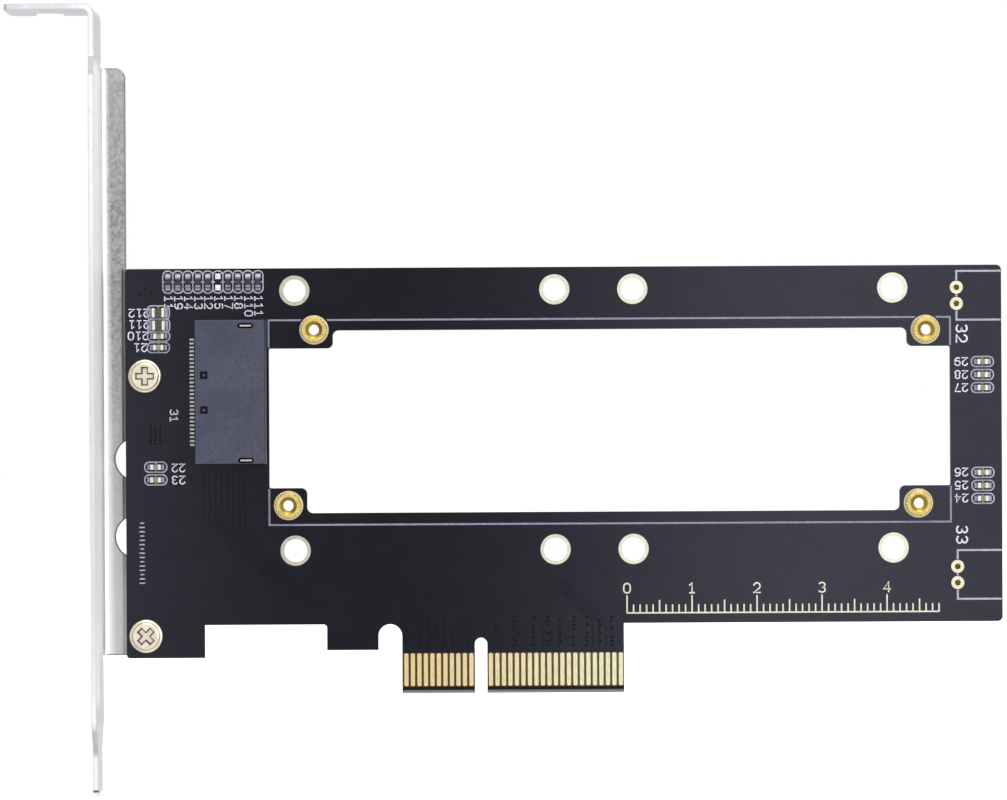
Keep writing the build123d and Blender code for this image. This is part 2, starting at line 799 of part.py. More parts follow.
def chip_end_caps(places, length, width, height, cap, turn):
    """Make the two end caps of each of a set of equal chips."""
    cap_middle = (length - cap) / 2
    with BuildSketch(front_face.offset(pad_thickness)) as caps:
        with Locations(*[Location((x, z), turn) for x, z in places]):
            with Locations((-cap_middle, 0), (cap_middle, 0)):
                Rectangle(cap, width)
    extrude(caps.sketch, amount=height)


def chip_solder(places, length, width, height, cap, turn):
    """Make the two pads of each chip, with the solder that climbs its ends."""
    pad_middle = length / 2 + (pad_reach - pad_tuck) / 2
    with BuildSketch(front_face) as pads:
        with Locations(*[Location((x, z), turn) for x, z in places]):
            with Locations((-pad_middle, 0), (pad_middle, 0)):
                Rectangle(pad_reach + pad_tuck, width)
    extrude(pads.sketch, amount=pad_thickness)
    climb = height * solder_climb
    along, across = ((0, 0, 1), (1, 0, 0)) if turn else ((1, 0, 0), (0, 0, -1))
    for x, z in places:
        middle = (x, -half_board - pad_thickness, z)
        with BuildSketch(Plane(origin=middle, x_dir=along, z_dir=across)) as wedges:
            for side in (-1, 1):
                with BuildLine():
                    Polyline((side * length / 2, 0), (side * length / 2, climb),
                             (side * (length / 2 + solder_run), 0), close=True)
                make_face()
        extrude(wedges.sketch, amount=width / 2, both=True)


resistor = (small_chip_length, small_chip_width, resistor_height, resistor_cap_length, 90)
small_capacitor = (small_chip_length, small_chip_width, capacitor_height, capacitor_cap_length, 0)
large_capacitor = (large_chip_length, large_chip_width, capacitor_height, capacitor_cap_length, 0)

with BuildPart() as resistor_bodies:
    chip_bodies(fitted_resistors, *resistor)

resistor_bodies.part.label = "resistor_bodies"
export_step(resistor_bodies.part, "parts/resistor_bodies.step")

with BuildPart() as resistor_end_caps:
    chip_end_caps(fitted_resistors, *resistor)

resistor_end_caps.part.label = "resistor_end_caps"
export_step(resistor_end_caps.part, "parts/resistor_end_caps.step")

with BuildPart() as capacitor_bodies:
    chip_bodies(small_capacitors, *small_capacitor)
    chip_bodies(large_capacitors, *large_capacitor)

capacitor_bodies.part.label = "capacitor_bodies"
export_step(capacitor_bodies.part, "parts/capacitor_bodies.step")

with BuildPart() as capacitor_end_caps:
    chip_end_caps(small_capacitors, *small_capacitor)
    chip_end_caps(large_capacitors, *large_capacitor)

capacitor_end_caps.part.label = "capacitor_end_caps"
export_step(capacitor_end_caps.part, "parts/capacitor_end_caps.step")

with BuildPart() as chip_solder_joints:
    chip_solder(fitted_resistors, *resistor)
    chip_solder(small_capacitors, *small_capacitor)
    chip_solder(large_capacitors, *large_capacitor)

chip_solder_joints.part.label = "chip_solder_joints"
export_step(chip_solder_joints.part, "parts/chip_solder_joints.step")

# One resistor place is left empty and shows its two tinned pads
with BuildPart() as bare_pads:
    pad_middle = small_chip_length / 2 + (pad_reach - pad_tuck) / 2
    with BuildSketch(front_face):
        with Locations(Location(bare_resistor_place, 90)):
            with Locations((-pad_middle, 0), (pad_middle, 0)):
                Rectangle(pad_reach + pad_tuck, small_chip_width)
    extrude(amount=2 * pad_thickness)

bare_pads.part.label = "bare_pads"
export_step(bare_pads.part, "parts/bare_pads.step")


# Printed lines: the drive's outline, the two header outlines and a frame round each chip
with BuildPart() as drive_outline_print:
    half_line = drive_line / 2
    with BuildSketch(front_face):
        span(drive_left - half_line, drive_bottom - half_line, drive_right + half_line, drive_top + half_line)
        span(drive_left + half_line, drive_bottom + half_line, drive_right - half_line, drive_top - half_line,
             mode=Mode.SUBTRACT)
        for x, lower_ear, upper_ear in ((drive_left, ears[2], ears[0]), (drive_right, ears[3], ears[1])):
            span(x - drive_line, lower_ear[3] - print_to_edge, x + drive_line, upper_ear[3] + print_to_edge,
                 mode=Mode.SUBTRACT)
        with Locations(*standoff_places):
            Circle(standoff_ring_diameter / 2 + print_gap, mode=Mode.SUBTRACT)
        with Locations(*fan_holes):
            Circle(fan_ring_diameter / 2 + print_gap, mode=Mode.SUBTRACT)
    extrude(amount=ink)

drive_outline_print.part.label = "drive_outline_print"
export_step(drive_outline_print.part, "parts/drive_outline_print.step")

with BuildPart() as header_outline_print:
    half_line = header_line / 2
    with BuildSketch(front_face):
        for first_pin in header_first_pins:
            middle = first_pin - header_pitch / 2
            low = middle - header_outline_height / 2
            high = middle + header_outline_height / 2
            span(header_x - half_line, low - half_line, board_right - print_to_edge, high + half_line)
            span(header_x + half_line, low + half_line, board_right, high - half_line, mode=Mode.SUBTRACT)
        with Locations(*header_holes):
            Circle(header_ring_diameter / 2 + header_print_gap, mode=Mode.SUBTRACT)
    extrude(amount=ink)

header_outline_print.part.label = "header_outline_print"
export_step(header_outline_print.part, "parts/header_outline_print.step")


with BuildPart() as chip_outline_print:
    for places, margin_long, (length, width, height, cap, turn) in (
        (resistor_places, small_outline_margin_long, resistor),
        (small_capacitors, small_outline_margin_long, small_capacitor),
        (large_capacitors, large_outline_margin_long, large_capacitor),
    ):
        outer_length = length + 2 * margin_long
        outer_width = width + 2 * chip_outline_margin_side
        with BuildSketch(front_face) as frame:
            Rectangle(outer_length, outer_width)
            fillet(frame.vertices(), chip_outline_corner)
            offset(amount=-chip_line, mode=Mode.SUBTRACT)
            tick_middle = (outer_width - chip_tick_length) / 2
            with Locations((0, tick_middle), (0, -tick_middle)):
                Rectangle(chip_tick_width, chip_tick_length)
        with BuildSketch(front_face) as frames:
            with Locations(*[Location((x, z), turn) for x, z in places]):
                add(frame.sketch_local)
        extrude(frames.sketch, amount=ink)

chip_outline_print.part.label = "chip_outline_print"
export_step(chip_outline_print.part, "parts/chip_outline_print.step")
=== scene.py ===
# %% [markdown]
# An expansion card that carries a ruler-shaped solid state drive. The CAD model already
# holds every solid of the card in real millimetres. This lesson keeps those solids where
# they are, gives each one the finish of its real material, and adds what is too small or
# too thin for CAD: printed numbers, knurling, threads, solder and copper under the mask.
# Lengths on the card are written in millimetres and multiplied by one factor. The room is
# laid out in metres.

# %% Load the card
import bpy
import math
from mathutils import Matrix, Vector
from types import SimpleNamespace


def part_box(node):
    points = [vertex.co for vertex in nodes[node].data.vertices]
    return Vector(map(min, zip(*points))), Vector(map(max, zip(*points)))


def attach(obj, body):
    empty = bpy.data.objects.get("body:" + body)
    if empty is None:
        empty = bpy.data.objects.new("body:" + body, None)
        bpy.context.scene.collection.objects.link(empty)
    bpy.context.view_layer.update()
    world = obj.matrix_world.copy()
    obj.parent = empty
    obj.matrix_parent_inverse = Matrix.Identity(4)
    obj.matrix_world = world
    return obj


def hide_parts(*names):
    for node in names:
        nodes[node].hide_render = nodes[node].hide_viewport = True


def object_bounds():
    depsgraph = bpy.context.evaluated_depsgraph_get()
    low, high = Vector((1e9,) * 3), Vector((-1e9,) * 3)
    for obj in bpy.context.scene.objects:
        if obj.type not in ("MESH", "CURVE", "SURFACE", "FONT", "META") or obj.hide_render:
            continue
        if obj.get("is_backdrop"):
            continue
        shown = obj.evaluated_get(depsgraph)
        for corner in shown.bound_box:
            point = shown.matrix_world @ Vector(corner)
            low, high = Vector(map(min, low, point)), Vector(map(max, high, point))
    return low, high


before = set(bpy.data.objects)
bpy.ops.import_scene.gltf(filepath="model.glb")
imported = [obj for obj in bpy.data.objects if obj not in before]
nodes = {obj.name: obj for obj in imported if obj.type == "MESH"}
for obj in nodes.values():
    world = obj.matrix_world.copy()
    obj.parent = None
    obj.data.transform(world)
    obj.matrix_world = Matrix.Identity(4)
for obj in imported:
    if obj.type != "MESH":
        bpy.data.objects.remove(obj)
cad_low, cad_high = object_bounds()
MM = 0.001
print("nodes", len(nodes), "size", [round(v / MM, 2) for v in cad_high - cad_low])

# %% [markdown]
# The camera comes first. The photograph looks straight at the parts side of the board from
# about a metre away, a hair's breadth turned clockwise, so the card's right end sits a
# little higher in the picture.

# %% Camera
camera_data = bpy.data.cameras.new("Camera")
camera_data.lens = 232.4
camera_data.sensor_width = 36
camera_data.clip_start = 0.05
camera_data.clip_end = 20
camera = bpy.data.objects.new("Camera", camera_data)
camera.location = (3.65 * MM, -1.001, 45.06 * MM)
camera.rotation_euler = (math.radians(90), math.radians(0.3), 0)
bpy.context.scene.collection.objects.link(camera)
bpy.context.scene.camera = camera
bpy.context.scene.view_settings.view_transform = "Standard"
print("camera stands", round(-camera.location.y, 3), "m in front of the board")

# %% [markdown]
# Many small pieces and finishes below need to know where the card's parts are. A CAD node
# can hold a group of separate solids, such as four standoffs or fifty six terminals. This
# helper walks the triangles of a node, joins those that share a corner, and gives the box
# of each solid, so that no place has to be written twice.

# %% Boxes of the separate solids of a node
def solids(node):
    """Lowest and highest corner, in millimetres, of each separate solid of a CAD node."""
    mesh = nodes[node].data
    corners = {}
    owner = []
    for vertex in mesh.vertices:
        key = tuple(round(c / MM, 3) for c in vertex.co)
        owner.append(corners.setdefault(key, len(corners)))
    group = list(range(len(corners)))

    def top(i):
        while group[i] != i:
            group[i] = group[group[i]]
            i = group[i]
        return i

    for face in mesh.polygons:
        first = top(owner[face.vertices[0]])
        for v in face.vertices[1:]:
            group[top(owner[v])] = first
    members = {}
    for key, i in corners.items():
        members.setdefault(top(i), []).append(key)
    boxes = [(Vector([min(c) for c in zip(*keys)]), Vector([max(c) for c in zip(*keys)]))
             for keys in members.values()]
    return sorted(boxes, key=lambda box: tuple(box[0]))


standoffs = [(low + high) / 2 for low, high in solids("drive_standoffs")]
screws = [(low + high) / 2 for low, high in solids("bracket_screws")]
header_holes = [(low + high) / 2 for low, high in solids("header_sleeves")]
print("standoffs", len(standoffs), "screws", len(screws), "header holes", len(header_holes))

# %% [markdown]
# Colours are written as the hex values that a screen shows. Blender works in linear light,
# so one function turns them over. One more function adds a node to a tree: it sets what the
# node is told to be, and gives each input a value or a link. A node given as a value stands
# for its first output.

# %% Helpers for colours and nodes
def linear(colour):
    """Turn an sRGB hex colour to linear values."""
    parts = [int(colour[i:i + 2], 16) / 255 for i in (1, 3, 5)]
    return tuple(v / 12.92 if v <= 0.04045 else ((v + 0.055) / 1.055) ** 2.4 for v in parts) + (1.0,)


def add(tree, kind, inputs=None, **settings):
    """Add one node with its settings, and give its inputs their values or links."""
    node = tree.nodes.new(kind)
    for name, value in settings.items():
        setattr(node, name, value)
    for name, value in (inputs or {}).items():
        if isinstance(value, bpy.types.Node):
            value = value.outputs[0]
        if isinstance(value, bpy.types.NodeSocket):
            tree.links.new(value, node.inputs[name])
        else:
            node.inputs[name].default_value = value
    return node


print("mask black in linear light", [round(v, 4) for v in linear("#111117")])

# %% [markdown]
# Each finish below is one node tree. They all start alike: a Principled shader, object
# coordinates counted in millimetres, and a noise of one real size that moves the colour,
# the roughness and the surface a little. The frame's objects sit at the origin, so the same
# point has the same pattern on every piece. Where a finish changes from place to place,
# such as bare laminate at the edge of the mask, another colour is laid over the first by
# masks made of the same coordinates. A finish is kept with its tree, its shader, and where
# a point lies and which way its face looks, because later lines need them.

# %% Start of a finish
def begin_finish(name, dark, light, size, rough=None, metallic=0.0, bump=0.0, stretch=(1, 1, 1)):
    """Begin a finish that a noise of one real size, in mm, varies. What later lines need stays with it."""
    material = bpy.data.materials.new(name)
    material.use_nodes = True
    tree = material.node_tree
    shader = tree.nodes["Principled BSDF"]
    shader.inputs["Metallic"].default_value = metallic
    place = add(tree, "ShaderNodeTexCoord")
    scaled = add(tree, "ShaderNodeVectorMath", {0: place.outputs["Object"], "Scale": 1 / MM},
                 operation="SCALE")
    mm = scaled.outputs["Vector"]
    point = add(tree, "ShaderNodeSeparateXYZ", {0: mm})
    facing = add(tree, "ShaderNodeSeparateXYZ", {0: place.outputs["Normal"]})
    grain = add(tree, "ShaderNodeMapping", {"Vector": mm, "Scale": tuple(s / size for s in stretch)})
    noise = add(tree, "ShaderNodeTexNoise", {"Vector": grain, "Scale": 1.0, "Detail": 4.0})
    spread = add(tree, "ShaderNodeMapRange", {"Value": noise, "From Min": 0.35, "From Max": 0.65})
    mix = add(tree, "ShaderNodeMix", {0: spread, 6: linear(dark), 7: linear(light)}, data_type="RGBA")
    tree.links.new(mix.outputs[2], shader.inputs["Base Color"])
    if rough:
        rougher = add(tree, "ShaderNodeMapRange", {"Value": noise, "From Min": 0.3, "From Max": 0.7,
                                                   "To Min": rough[0], "To Max": rough[1]})
        tree.links.new(rougher.outputs[0], shader.inputs["Roughness"])
    if bump:
        relief = add(tree, "ShaderNodeBump", {"Height": noise, "Strength": 0.6, "Distance": bump * MM})
        tree.links.new(relief.outputs[0], shader.inputs["Normal"])
    return SimpleNamespace(material=material, tree=tree, shader=shader, mm=mm,
                           point=point.outputs, facing=facing.outputs)


print("finishes start from a Principled shader")

# %% [markdown]
# A mask is a number between nought and one at each point of a surface. It is one inside a
# slab between two bounds, and masks multiplied together give boxes and rings. Laying a
# colour mixes it over what is there by such a mask, so a finish grows line by line.

# %% Masks, colours laid over, and covering
def within(value, low, high, blur=0.03):
    """A mask that is one where a value lies between two bounds, with soft ends."""
    tree = value.id_data
    middle, half = (low + high) / 2, (high - low) / 2
    offset = add(tree, "ShaderNodeMath", {0: value, 1: middle}, operation="SUBTRACT")
    apart = add(tree, "ShaderNodeMath", {0: offset, 1: 0.0}, operation="ABSOLUTE")
    return add(tree, "ShaderNodeMapRange", {"Value": apart, "From Min": half - blur, "From Max": half + blur,
                                            "To Min": 1.0, "To Max": 0.0})


def every(*masks):
    """A mask that is one where all the given masks are."""
    product = masks[0]
    for mask in masks[1:]:
        product = add(product.id_data, "ShaderNodeMath", {0: product, 1: mask}, operation="MULTIPLY")
    return product


def lay(finish, colour, *masks):
    """Lay another colour over a finish where all the given masks are one."""
    target = finish.shader.inputs["Base Color"]
    mix = add(finish.tree, "ShaderNodeMix", {0: every(*masks), 6: target.links[0].from_socket,
                                             7: linear(colour)}, data_type="RGBA")
    finish.tree.links.new(mix.outputs[2], target)


def from_centre(point, x, z, half_pitch=0.0):
    """Distance in the board's plane from a point, or from the nearer of two stacked ones."""
    tree = point["X"].id_data
    along = add(tree, "ShaderNodeMath", {0: point["X"], 1: x}, operation="SUBTRACT")
    up = add(tree, "ShaderNodeMath", {0: point["Z"], 1: z}, operation="SUBTRACT")
    folded = add(tree, "ShaderNodeMath", {0: up}, operation="ABSOLUTE")
    nearer = add(tree, "ShaderNodeMath", {0: folded, 1: half_pitch}, operation="SUBTRACT")
    arm = add(tree, "ShaderNodeCombineXYZ", {0: along, 1: nearer})
    return add(tree, "ShaderNodeVectorMath", {0: arm}, operation="LENGTH").outputs["Value"]


def cover(finish, *names):
    """Give CAD nodes their finish by filling their material slots."""
    for name in names:
        slots = nodes[name].data.materials
        if not slots:
            slots.append(finish.material)
        for i in range(len(slots)):
            slots[i] = finish.material


FAR = 1000.0
print("a bound of", FAR, "mm means without end")

# %% [markdown]
# The board is glass cloth in epoxy, covered by a black solder mask: a cured photopolymer
# about 0.02 mm thick, glossy, with a hint of violet in its sheen. It ends just above the gold
# contacts, where the bare olive laminate shows between them, and it doesn't reach the routed
# edges. Under the contacts the edge is bevelled, and the cut fibres look pale. The header
# holes are closed at the back, and the laminate there lets a little light through. Depth
# through the sheet tells mask from laminate, so the same tree serves all of it.

# %% Solder mask and laminate
mask_black = begin_finish("solder_mask_black", "#0d0d13", "#111117", 3.0)
tree, shader, mm, point = mask_black.tree, mask_black.shader, mask_black.mm, mask_black.point
shader.inputs["IOR"].default_value = 1.6
shader.inputs["Specular Tint"].default_value = linear("#e6e4ff")
FRONT = 0.8
MASK_DEPTH = 0.015
MASK_END = 6.2
TAB_LEFT, TAB_RIGHT = -12.3, 22.5
BEVEL = 0.5
FILM_LOW, FILM_HIGH = 0.6, 0.72
depth = add(tree, "ShaderNodeMath", {0: point["Y"]}, operation="ABSOLUTE")
core = within(depth, -1.0, FRONT - MASK_DEPTH, 0.003)
opened = every(within(point["Z"], -FAR, MASK_END), within(point["X"], TAB_LEFT, FAR))
bare = add(tree, "ShaderNodeMath", {0: core, 1: opened}, operation="MAXIMUM")
BUNDLE = (0.35, 0.35, 0.12)
weave = add(tree, "ShaderNodeMapping", {"Vector": mm, "Scale": tuple(1 / size for size in BUNDLE)})
fibres = add(tree, "ShaderNodeTexNoise", {"Vector": weave, "Scale": 1.0, "Detail": 3.0})
across = add(tree, "ShaderNodeMapRange", {"Value": point["X"], "From Min": -12.0, "From Max": 22.0})
resin = add(tree, "ShaderNodeMix", {0: across, 6: linear("#3f2f0c"), 7: linear("#4c4424")},
            data_type="RGBA")
glass = add(tree, "ShaderNodeMix", {0: across, 6: linear("#4f3c14"), 7: linear("#5b5230")},
            data_type="RGBA")
laminate = add(tree, "ShaderNodeMix", {0: fibres, 6: resin.outputs[2], 7: glass.outputs[2]},
               data_type="RGBA")
whole = add(tree, "ShaderNodeMix", {0: bare, 6: shader.inputs["Base Color"].links[0].from_socket,
                                    7: laminate.outputs[2]}, data_type="RGBA")
tree.links.new(whole.outputs[2], shader.inputs["Base Color"])

on_tab = within(point["X"], TAB_LEFT, TAB_RIGHT)
header_x = header_holes[0].x
lay(mask_black, "#15130e", on_tab, within(point["Z"], BEVEL, 2 * BEVEL))
lay(mask_black, "#686a6b", on_tab, within(point["Z"], -1.0, BEVEL))
lay(mask_black, "#8c8f8e", on_tab, within(point["Z"], -1.0, 0.26, 0.12))
lay(mask_black, "#f6f0a8", within(point["Y"], FILM_LOW, FILM_HIGH),
    within(point["X"], header_x - 0.5, header_x + 0.5))
rougher = add(tree, "ShaderNodeMapRange", {"Value": bare, "To Min": 0.12, "To Max": 0.6})
tree.links.new(rougher.outputs[0], shader.inputs["Roughness"])
sheen = add(tree, "ShaderNodeMapRange", {"Value": bare, "To Min": 0.5, "To Max": 0.08})
tree.links.new(sheen.outputs[0], shader.inputs["Specular IOR Level"])
# The cured mask has an orange peel of bumps about 0.9 mm wide
peel = add(tree, "ShaderNodeTexNoise", {"Vector": mm, "Scale": 1.1, "Detail": 2.0})
relief = add(tree, "ShaderNodeBump", {"Height": peel, "Strength": 0.05, "Distance": 0.01 * MM})
tree.links.new(relief.outputs[0], shader.inputs["Normal"])
cover(mask_black, "circuit_board")
print("mask ends", MASK_END, "mm above the lower edge")

# %% [markdown]
# Gold is plated thinly over nickel. The edge contacts are hard gold with fine scratches
# along the way they slide, pale because the nickel shines through, and deeper in colour at
# the left. The rings round the holes are immersion gold, almost cream, and paler at the
# right. Little light gets out of the closed header holes, so their barrels look olive.

# %% Gold
contact_gold = begin_finish("hard_gold_plate", "#eae3bb", "#f4f0cf", 0.5, metallic=0.78,
                            rough=(0.24, 0.38), bump=0.002, stretch=(4, 4, 0.4))
tree, point = contact_gold.tree, contact_gold.point
deeper = add(tree, "ShaderNodeMapRange", {"Value": point["X"], "From Min": -12.0, "From Max": 20.0,
                                          "To Min": 0.95, "To Max": 0.0})
lay(contact_gold, "#e8ce9a", deeper)
cover(contact_gold, "edge_contacts_front", "edge_contacts_back")

ring_gold = begin_finish("immersion_gold", "#c4beaa", "#cec9b8", 0.9, metallic=0.9, rough=(0.3, 0.42),
                         bump=0.003)
tree, point = ring_gold.tree, ring_gold.point
paler = add(tree, "ShaderNodeMapRange", {"Value": point["X"], "From Min": -30.0, "From Max": 30.0,
                                         "To Min": 0.0, "To Max": 0.92})
lay(ring_gold, "#f2eedc", paler)
cover(ring_gold, "fan_hole_sleeves")

pale_gold = begin_finish("immersion_gold_pale", "#ded2b8", "#e8dec8", 0.9, metallic=1.0,
                         rough=(0.3, 0.42), bump=0.003)
cover(pale_gold, "standoff_sleeves")

header_gold = begin_finish("immersion_gold_in_blind_holes", "#e8e1c2", "#f2ebd2", 0.9, metallic=0.8,
                           rough=(0.3, 0.42))
lay(header_gold, "#9a9048", within(header_gold.facing["Y"], -0.5, 0.5))
cover(header_gold, "header_sleeves")
print("four gold finishes, header holes at X", round(header_x, 2))

# %% [markdown]
# The two pan head screws are steel with a warm nickel plating. Their cross recess is a punched
# hollow: its walls stand steep and reflect only each other, so they look dark brown, and its
# floor catches the light. A fine grey line runs between the crown and the rim, and the rim
# falls away from the light. Both screws share one tree, because the distance is measured to
# the nearer of the two.

# %% Screws
nickel = begin_finish("warm_nickel_plate", "#efe4cb", "#f7eedb", 1.2, metallic=1.0, rough=(0.3, 0.4))
point, facing = nickel.point, nickel.facing
screw_x = screws[0].x
screw_middle = (screws[0].z + screws[1].z) / 2
screw_half_pitch = abs(screws[0].z - screws[1].z) / 2
reach = from_centre(point, screw_x, screw_middle, screw_half_pitch)
HEAD_TOP = -2.2
CROWN_EDGE, RIM, RECESS = 2.07, 2.5, 1.75
lay(nickel, "#c0b8a2", within(reach, CROWN_EDGE - 0.09, CROWN_EDGE + 0.09, 0.05),
    within(point["Y"], HEAD_TOP, -1.4))
lay(nickel, "#a39c80", within(reach, RIM, 4.0, 0.05), within(point["Y"], HEAD_TOP, -0.4))
hollow = every(within(reach, -1.0, RECESS), within(point["Y"], HEAD_TOP + 0.12, -1.0, 0.02))
lay(nickel, "#31281f", hollow, within(facing["Y"], -0.8, 1.0, 0.05))
lay(nickel, "#f6ecdf", hollow, within(facing["Y"], -1.1, -0.8, 0.05))
cover(nickel, "bracket_screws")
print("screws at X", round(screw_x, 2), "Z", round(screws[0].z, 2), round(screws[1].z, 2))

# %% [markdown]
# Terminals, locks and the caps of the chips are tinned. The terminals' tin is bright from
# the plating bath, the chips' caps are barrel plated and matt, and reflowed solder is satin.
# The resistors' caps and the solder are a little lavender next to the black mask.

# %% Tin and solder
tin = begin_finish("plated_tin", "#bdb8b6", "#dcdad8", 0.3, metallic=1.0, rough=(0.34, 0.48), bump=0.002)
cover(tin, "upper_terminals", "lower_terminals", "board_locks")

dull_tin = begin_finish("barrel_plated_tin_grey", "#7c7c90", "#8e8ea4", 0.3, metallic=0.3, rough=(0.5, 0.6))
cover(dull_tin, "resistor_end_caps")

cap_tin = begin_finish("barrel_plated_tin_white", "#d0cec5", "#e6e4dc", 0.35, metallic=0.4,
                       rough=(0.45, 0.6))
cover(cap_tin, "capacitor_end_caps")

bright_solder = begin_finish("levelled_solder", "#e6e6ec", "#fbfbfd", 0.6, metallic=0.6, rough=(0.24, 0.38))
cover(bright_solder, "bare_pads")

solder = begin_finish("reflowed_solder", "#9090a2", "#acacbc", 0.6, metallic=1.0, rough=(0.46, 0.58))
cover(solder, "terminal_pads", "lock_solder", "chip_solder_joints")
print("five tinned finishes")

# %% [markdown]
# The slot bracket is cold rolled steel with a zinc plating, satin and mottled with small
# spangles. Its flange grows paler towards both ends. The bracket is one CAD node, so one
# tree holds all of it, and the places that follow are laid over it one by one. Their bounds
# are the card's own lines: the flange's ends, the board's top and the top of the tongue.

# %% Zinc plated steel
zinc = begin_finish("zinc_plated_steel", "#8e8e90", "#b6b6b8", 0.5, metallic=1.0, rough=(0.38, 0.54),
                    bump=0.008)
tree, point, facing = zinc.tree, zinc.point, zinc.facing
bracket_low, bracket_high = (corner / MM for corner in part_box("slot_bracket"))
board_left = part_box("circuit_board")[0].x / MM
SHEET = 0.86
BEND = 0.9
PLATE_OUTER = -59.06
PLATE_INNER = PLATE_OUTER + SHEET
FLANGE_LOW, FLANGE_TOP = 6.0, 96.6
STEP_LOW, STEP_HIGH = 94.6, 97.6
BOARD_TOP = 65.5
TONGUE_TOP, TONGUE_SHOULDER = -4.6, 4.2
SCALLOP, SCALLOP_INSET, SCALLOP_HEIGHTS = 3.25, 1.55, (36.25, 24.3)
for colour, first, last, share in (("#cecdce", 60.0, 15.0, 1.0), ("#c4c3c4", 75.0, 95.0, 0.35)):
    paler = add(tree, "ShaderNodeMapRange", {"Value": point["Z"], "From Min": first, "From Max": last,
                                             "To Min": 0.0, "To Max": share})
    lay(zinc, colour, paler)
print("bracket's sheet", SHEET, "mm, board ends at X", round(board_left, 2))

# %% [markdown]
# The inner face of the plate catches bright light at a grazing angle. That light is painted
# into its colour as a near-white painted reflection, and the face is made barely metallic there,
# so it hardly mirrors. It greys a little towards the flange, a painted shade of the corner, and
# past both ends of the flange it turns back to satin zinc. The underside of the foot is the same zinc,
# shaded.

# %% Inner face of the plate
inward_face = within(facing["X"], 0.5, 1.1, 0.05)
inner = every(inward_face, within(point["Y"], -FAR, -0.1))
# Painted reflection: the inner face is laid near-white, a little less white above the board, where the top
# light already falls strongest
lay(zinc, "#f0f0f2", inner)
lay(zinc, "#e4e4e7", inner, within(point["Z"], 68.0, FLANGE_TOP, 2.0))
greyer = add(tree, "ShaderNodeMapRange", {"Value": point["Y"], "From Min": -7.0, "From Max": -0.2,
                                          "To Min": 0.0, "To Max": 0.7})
# Painted shade: greyer towards the corner at the flange
lay(zinc, "#bcbcc0", inner, greyer)
lay(zinc, "#c4c7cf", inner, within(point["Z"], FLANGE_TOP, FAR, 0.8))
lay(zinc, "#cccccf", inner, within(point["Z"], TONGUE_TOP, FLANGE_LOW, 2.0),
    within(point["Y"], -9.0, 3.0, 3.0))
lay(zinc, "#d0d0d4", inner, within(point["Z"], -FAR, TONGUE_TOP, 1.0))
lay(zinc, "#cfd2d8", within(facing["Z"], -1.1, -0.5, 0.05))
painted_white_face = every(inner, within(point["Z"], FLANGE_LOW, FLANGE_TOP, 1.0))
satin = add(tree, "ShaderNodeMapRange", {"Value": painted_white_face, "To Min": 1.0, "To Max": 0.05})
tree.links.new(satin.outputs[0], zinc.shader.inputs["Metallic"])
print("painted white face ends at Z", FLANGE_LOW, "and", FLANGE_TOP)

# %% [markdown]
# Round its bend the sheet turns through a quarter circle. The bend's highlight is painted there
# as a white band beside the flange, a little wider lower down, and a grey strip of painted shade
# lies where the bend leaves the plate.

# %% Bend of the flange
round_bend = within(point["Y"], -0.4, 0.85, 0.05)
wider_below = add(tree, "ShaderNodeMath", {0: point["Z"], 1: 0.007, 2: point["X"]},
                  operation="MULTIPLY_ADD")
bend_highlight_fade = add(tree, "ShaderNodeMapRange", {"Value": wider_below, "From Min": PLATE_INNER + 0.93,
                                          "From Max": PLATE_INNER + 2.0, "To Min": 1.0, "To Max": 0.0})
# Painted highlight of the bend
lay(zinc, "#ffffff", round_bend, bend_highlight_fade, within(point["X"], PLATE_INNER - 0.1, 0.0))
# Painted shade where the bend leaves the plate
lay(zinc, "#d8d8da", round_bend, within(point["X"], PLATE_INNER - 0.1, PLATE_INNER + 0.25, 0.05))
print("band starts at X", round(PLATE_INNER, 2))

# %% [markdown]
# The sheared edges, which the shears have smeared smooth, are painted white in the middle,
# partly for the smeared metal and partly as a painted highlight, and greyer at both rims, a
# painted shade where the sheet's corners are rolled over out of the light. The rims follow the
# sheet round its upper bend: the middle of the sheet is a quarter circle that runs on into two
# straight lines, so the distance to it is one short expression. The step under the foot and
# the shoulder over the tongue lean out of the light, and the tongue's cut tip is dark.

# %% Sheared edges
in_front = within(point["Y"], -FAR, -2.0)
sheared = every(within(facing["Y"], -1.1, -0.6, 0.05), in_front)
# Partly painted highlight: the sheared edges are laid white, a little greyer along the board's height and on
# the foot
lay(zinc, "#f4f4f4", sheared)
lay(zinc, "#e2e2e3", sheared, within(point["Z"], FLANGE_LOW, BOARD_TOP + 0.5, 8.0))
lay(zinc, "#e2e2e4", sheared, within(point["X"], -FAR, -61.5, 1.0))
bend_x, bend_z = PLATE_OUTER - BEND, bracket_high.z - SHEET - BEND
beyond = add(tree, "ShaderNodeCombineXYZ", {
    0: add(tree, "ShaderNodeMath", {0: point["X"], 1: bend_x}, operation="SUBTRACT"),
    1: add(tree, "ShaderNodeMath", {0: point["Z"], 1: bend_z}, operation="SUBTRACT")})
folded = add(tree, "ShaderNodeVectorMath", {0: beyond, 1: (0, 0, 0)}, operation="MAXIMUM")
from_bend = add(tree, "ShaderNodeVectorMath", {0: folded}, operation="LENGTH")
off_middle = add(tree, "ShaderNodeMath", {0: from_bend.outputs["Value"], 1: BEND + SHEET / 2},
                 operation="SUBTRACT")
rim = add(tree, "ShaderNodeMath", {0: off_middle}, operation="ABSOLUTE")
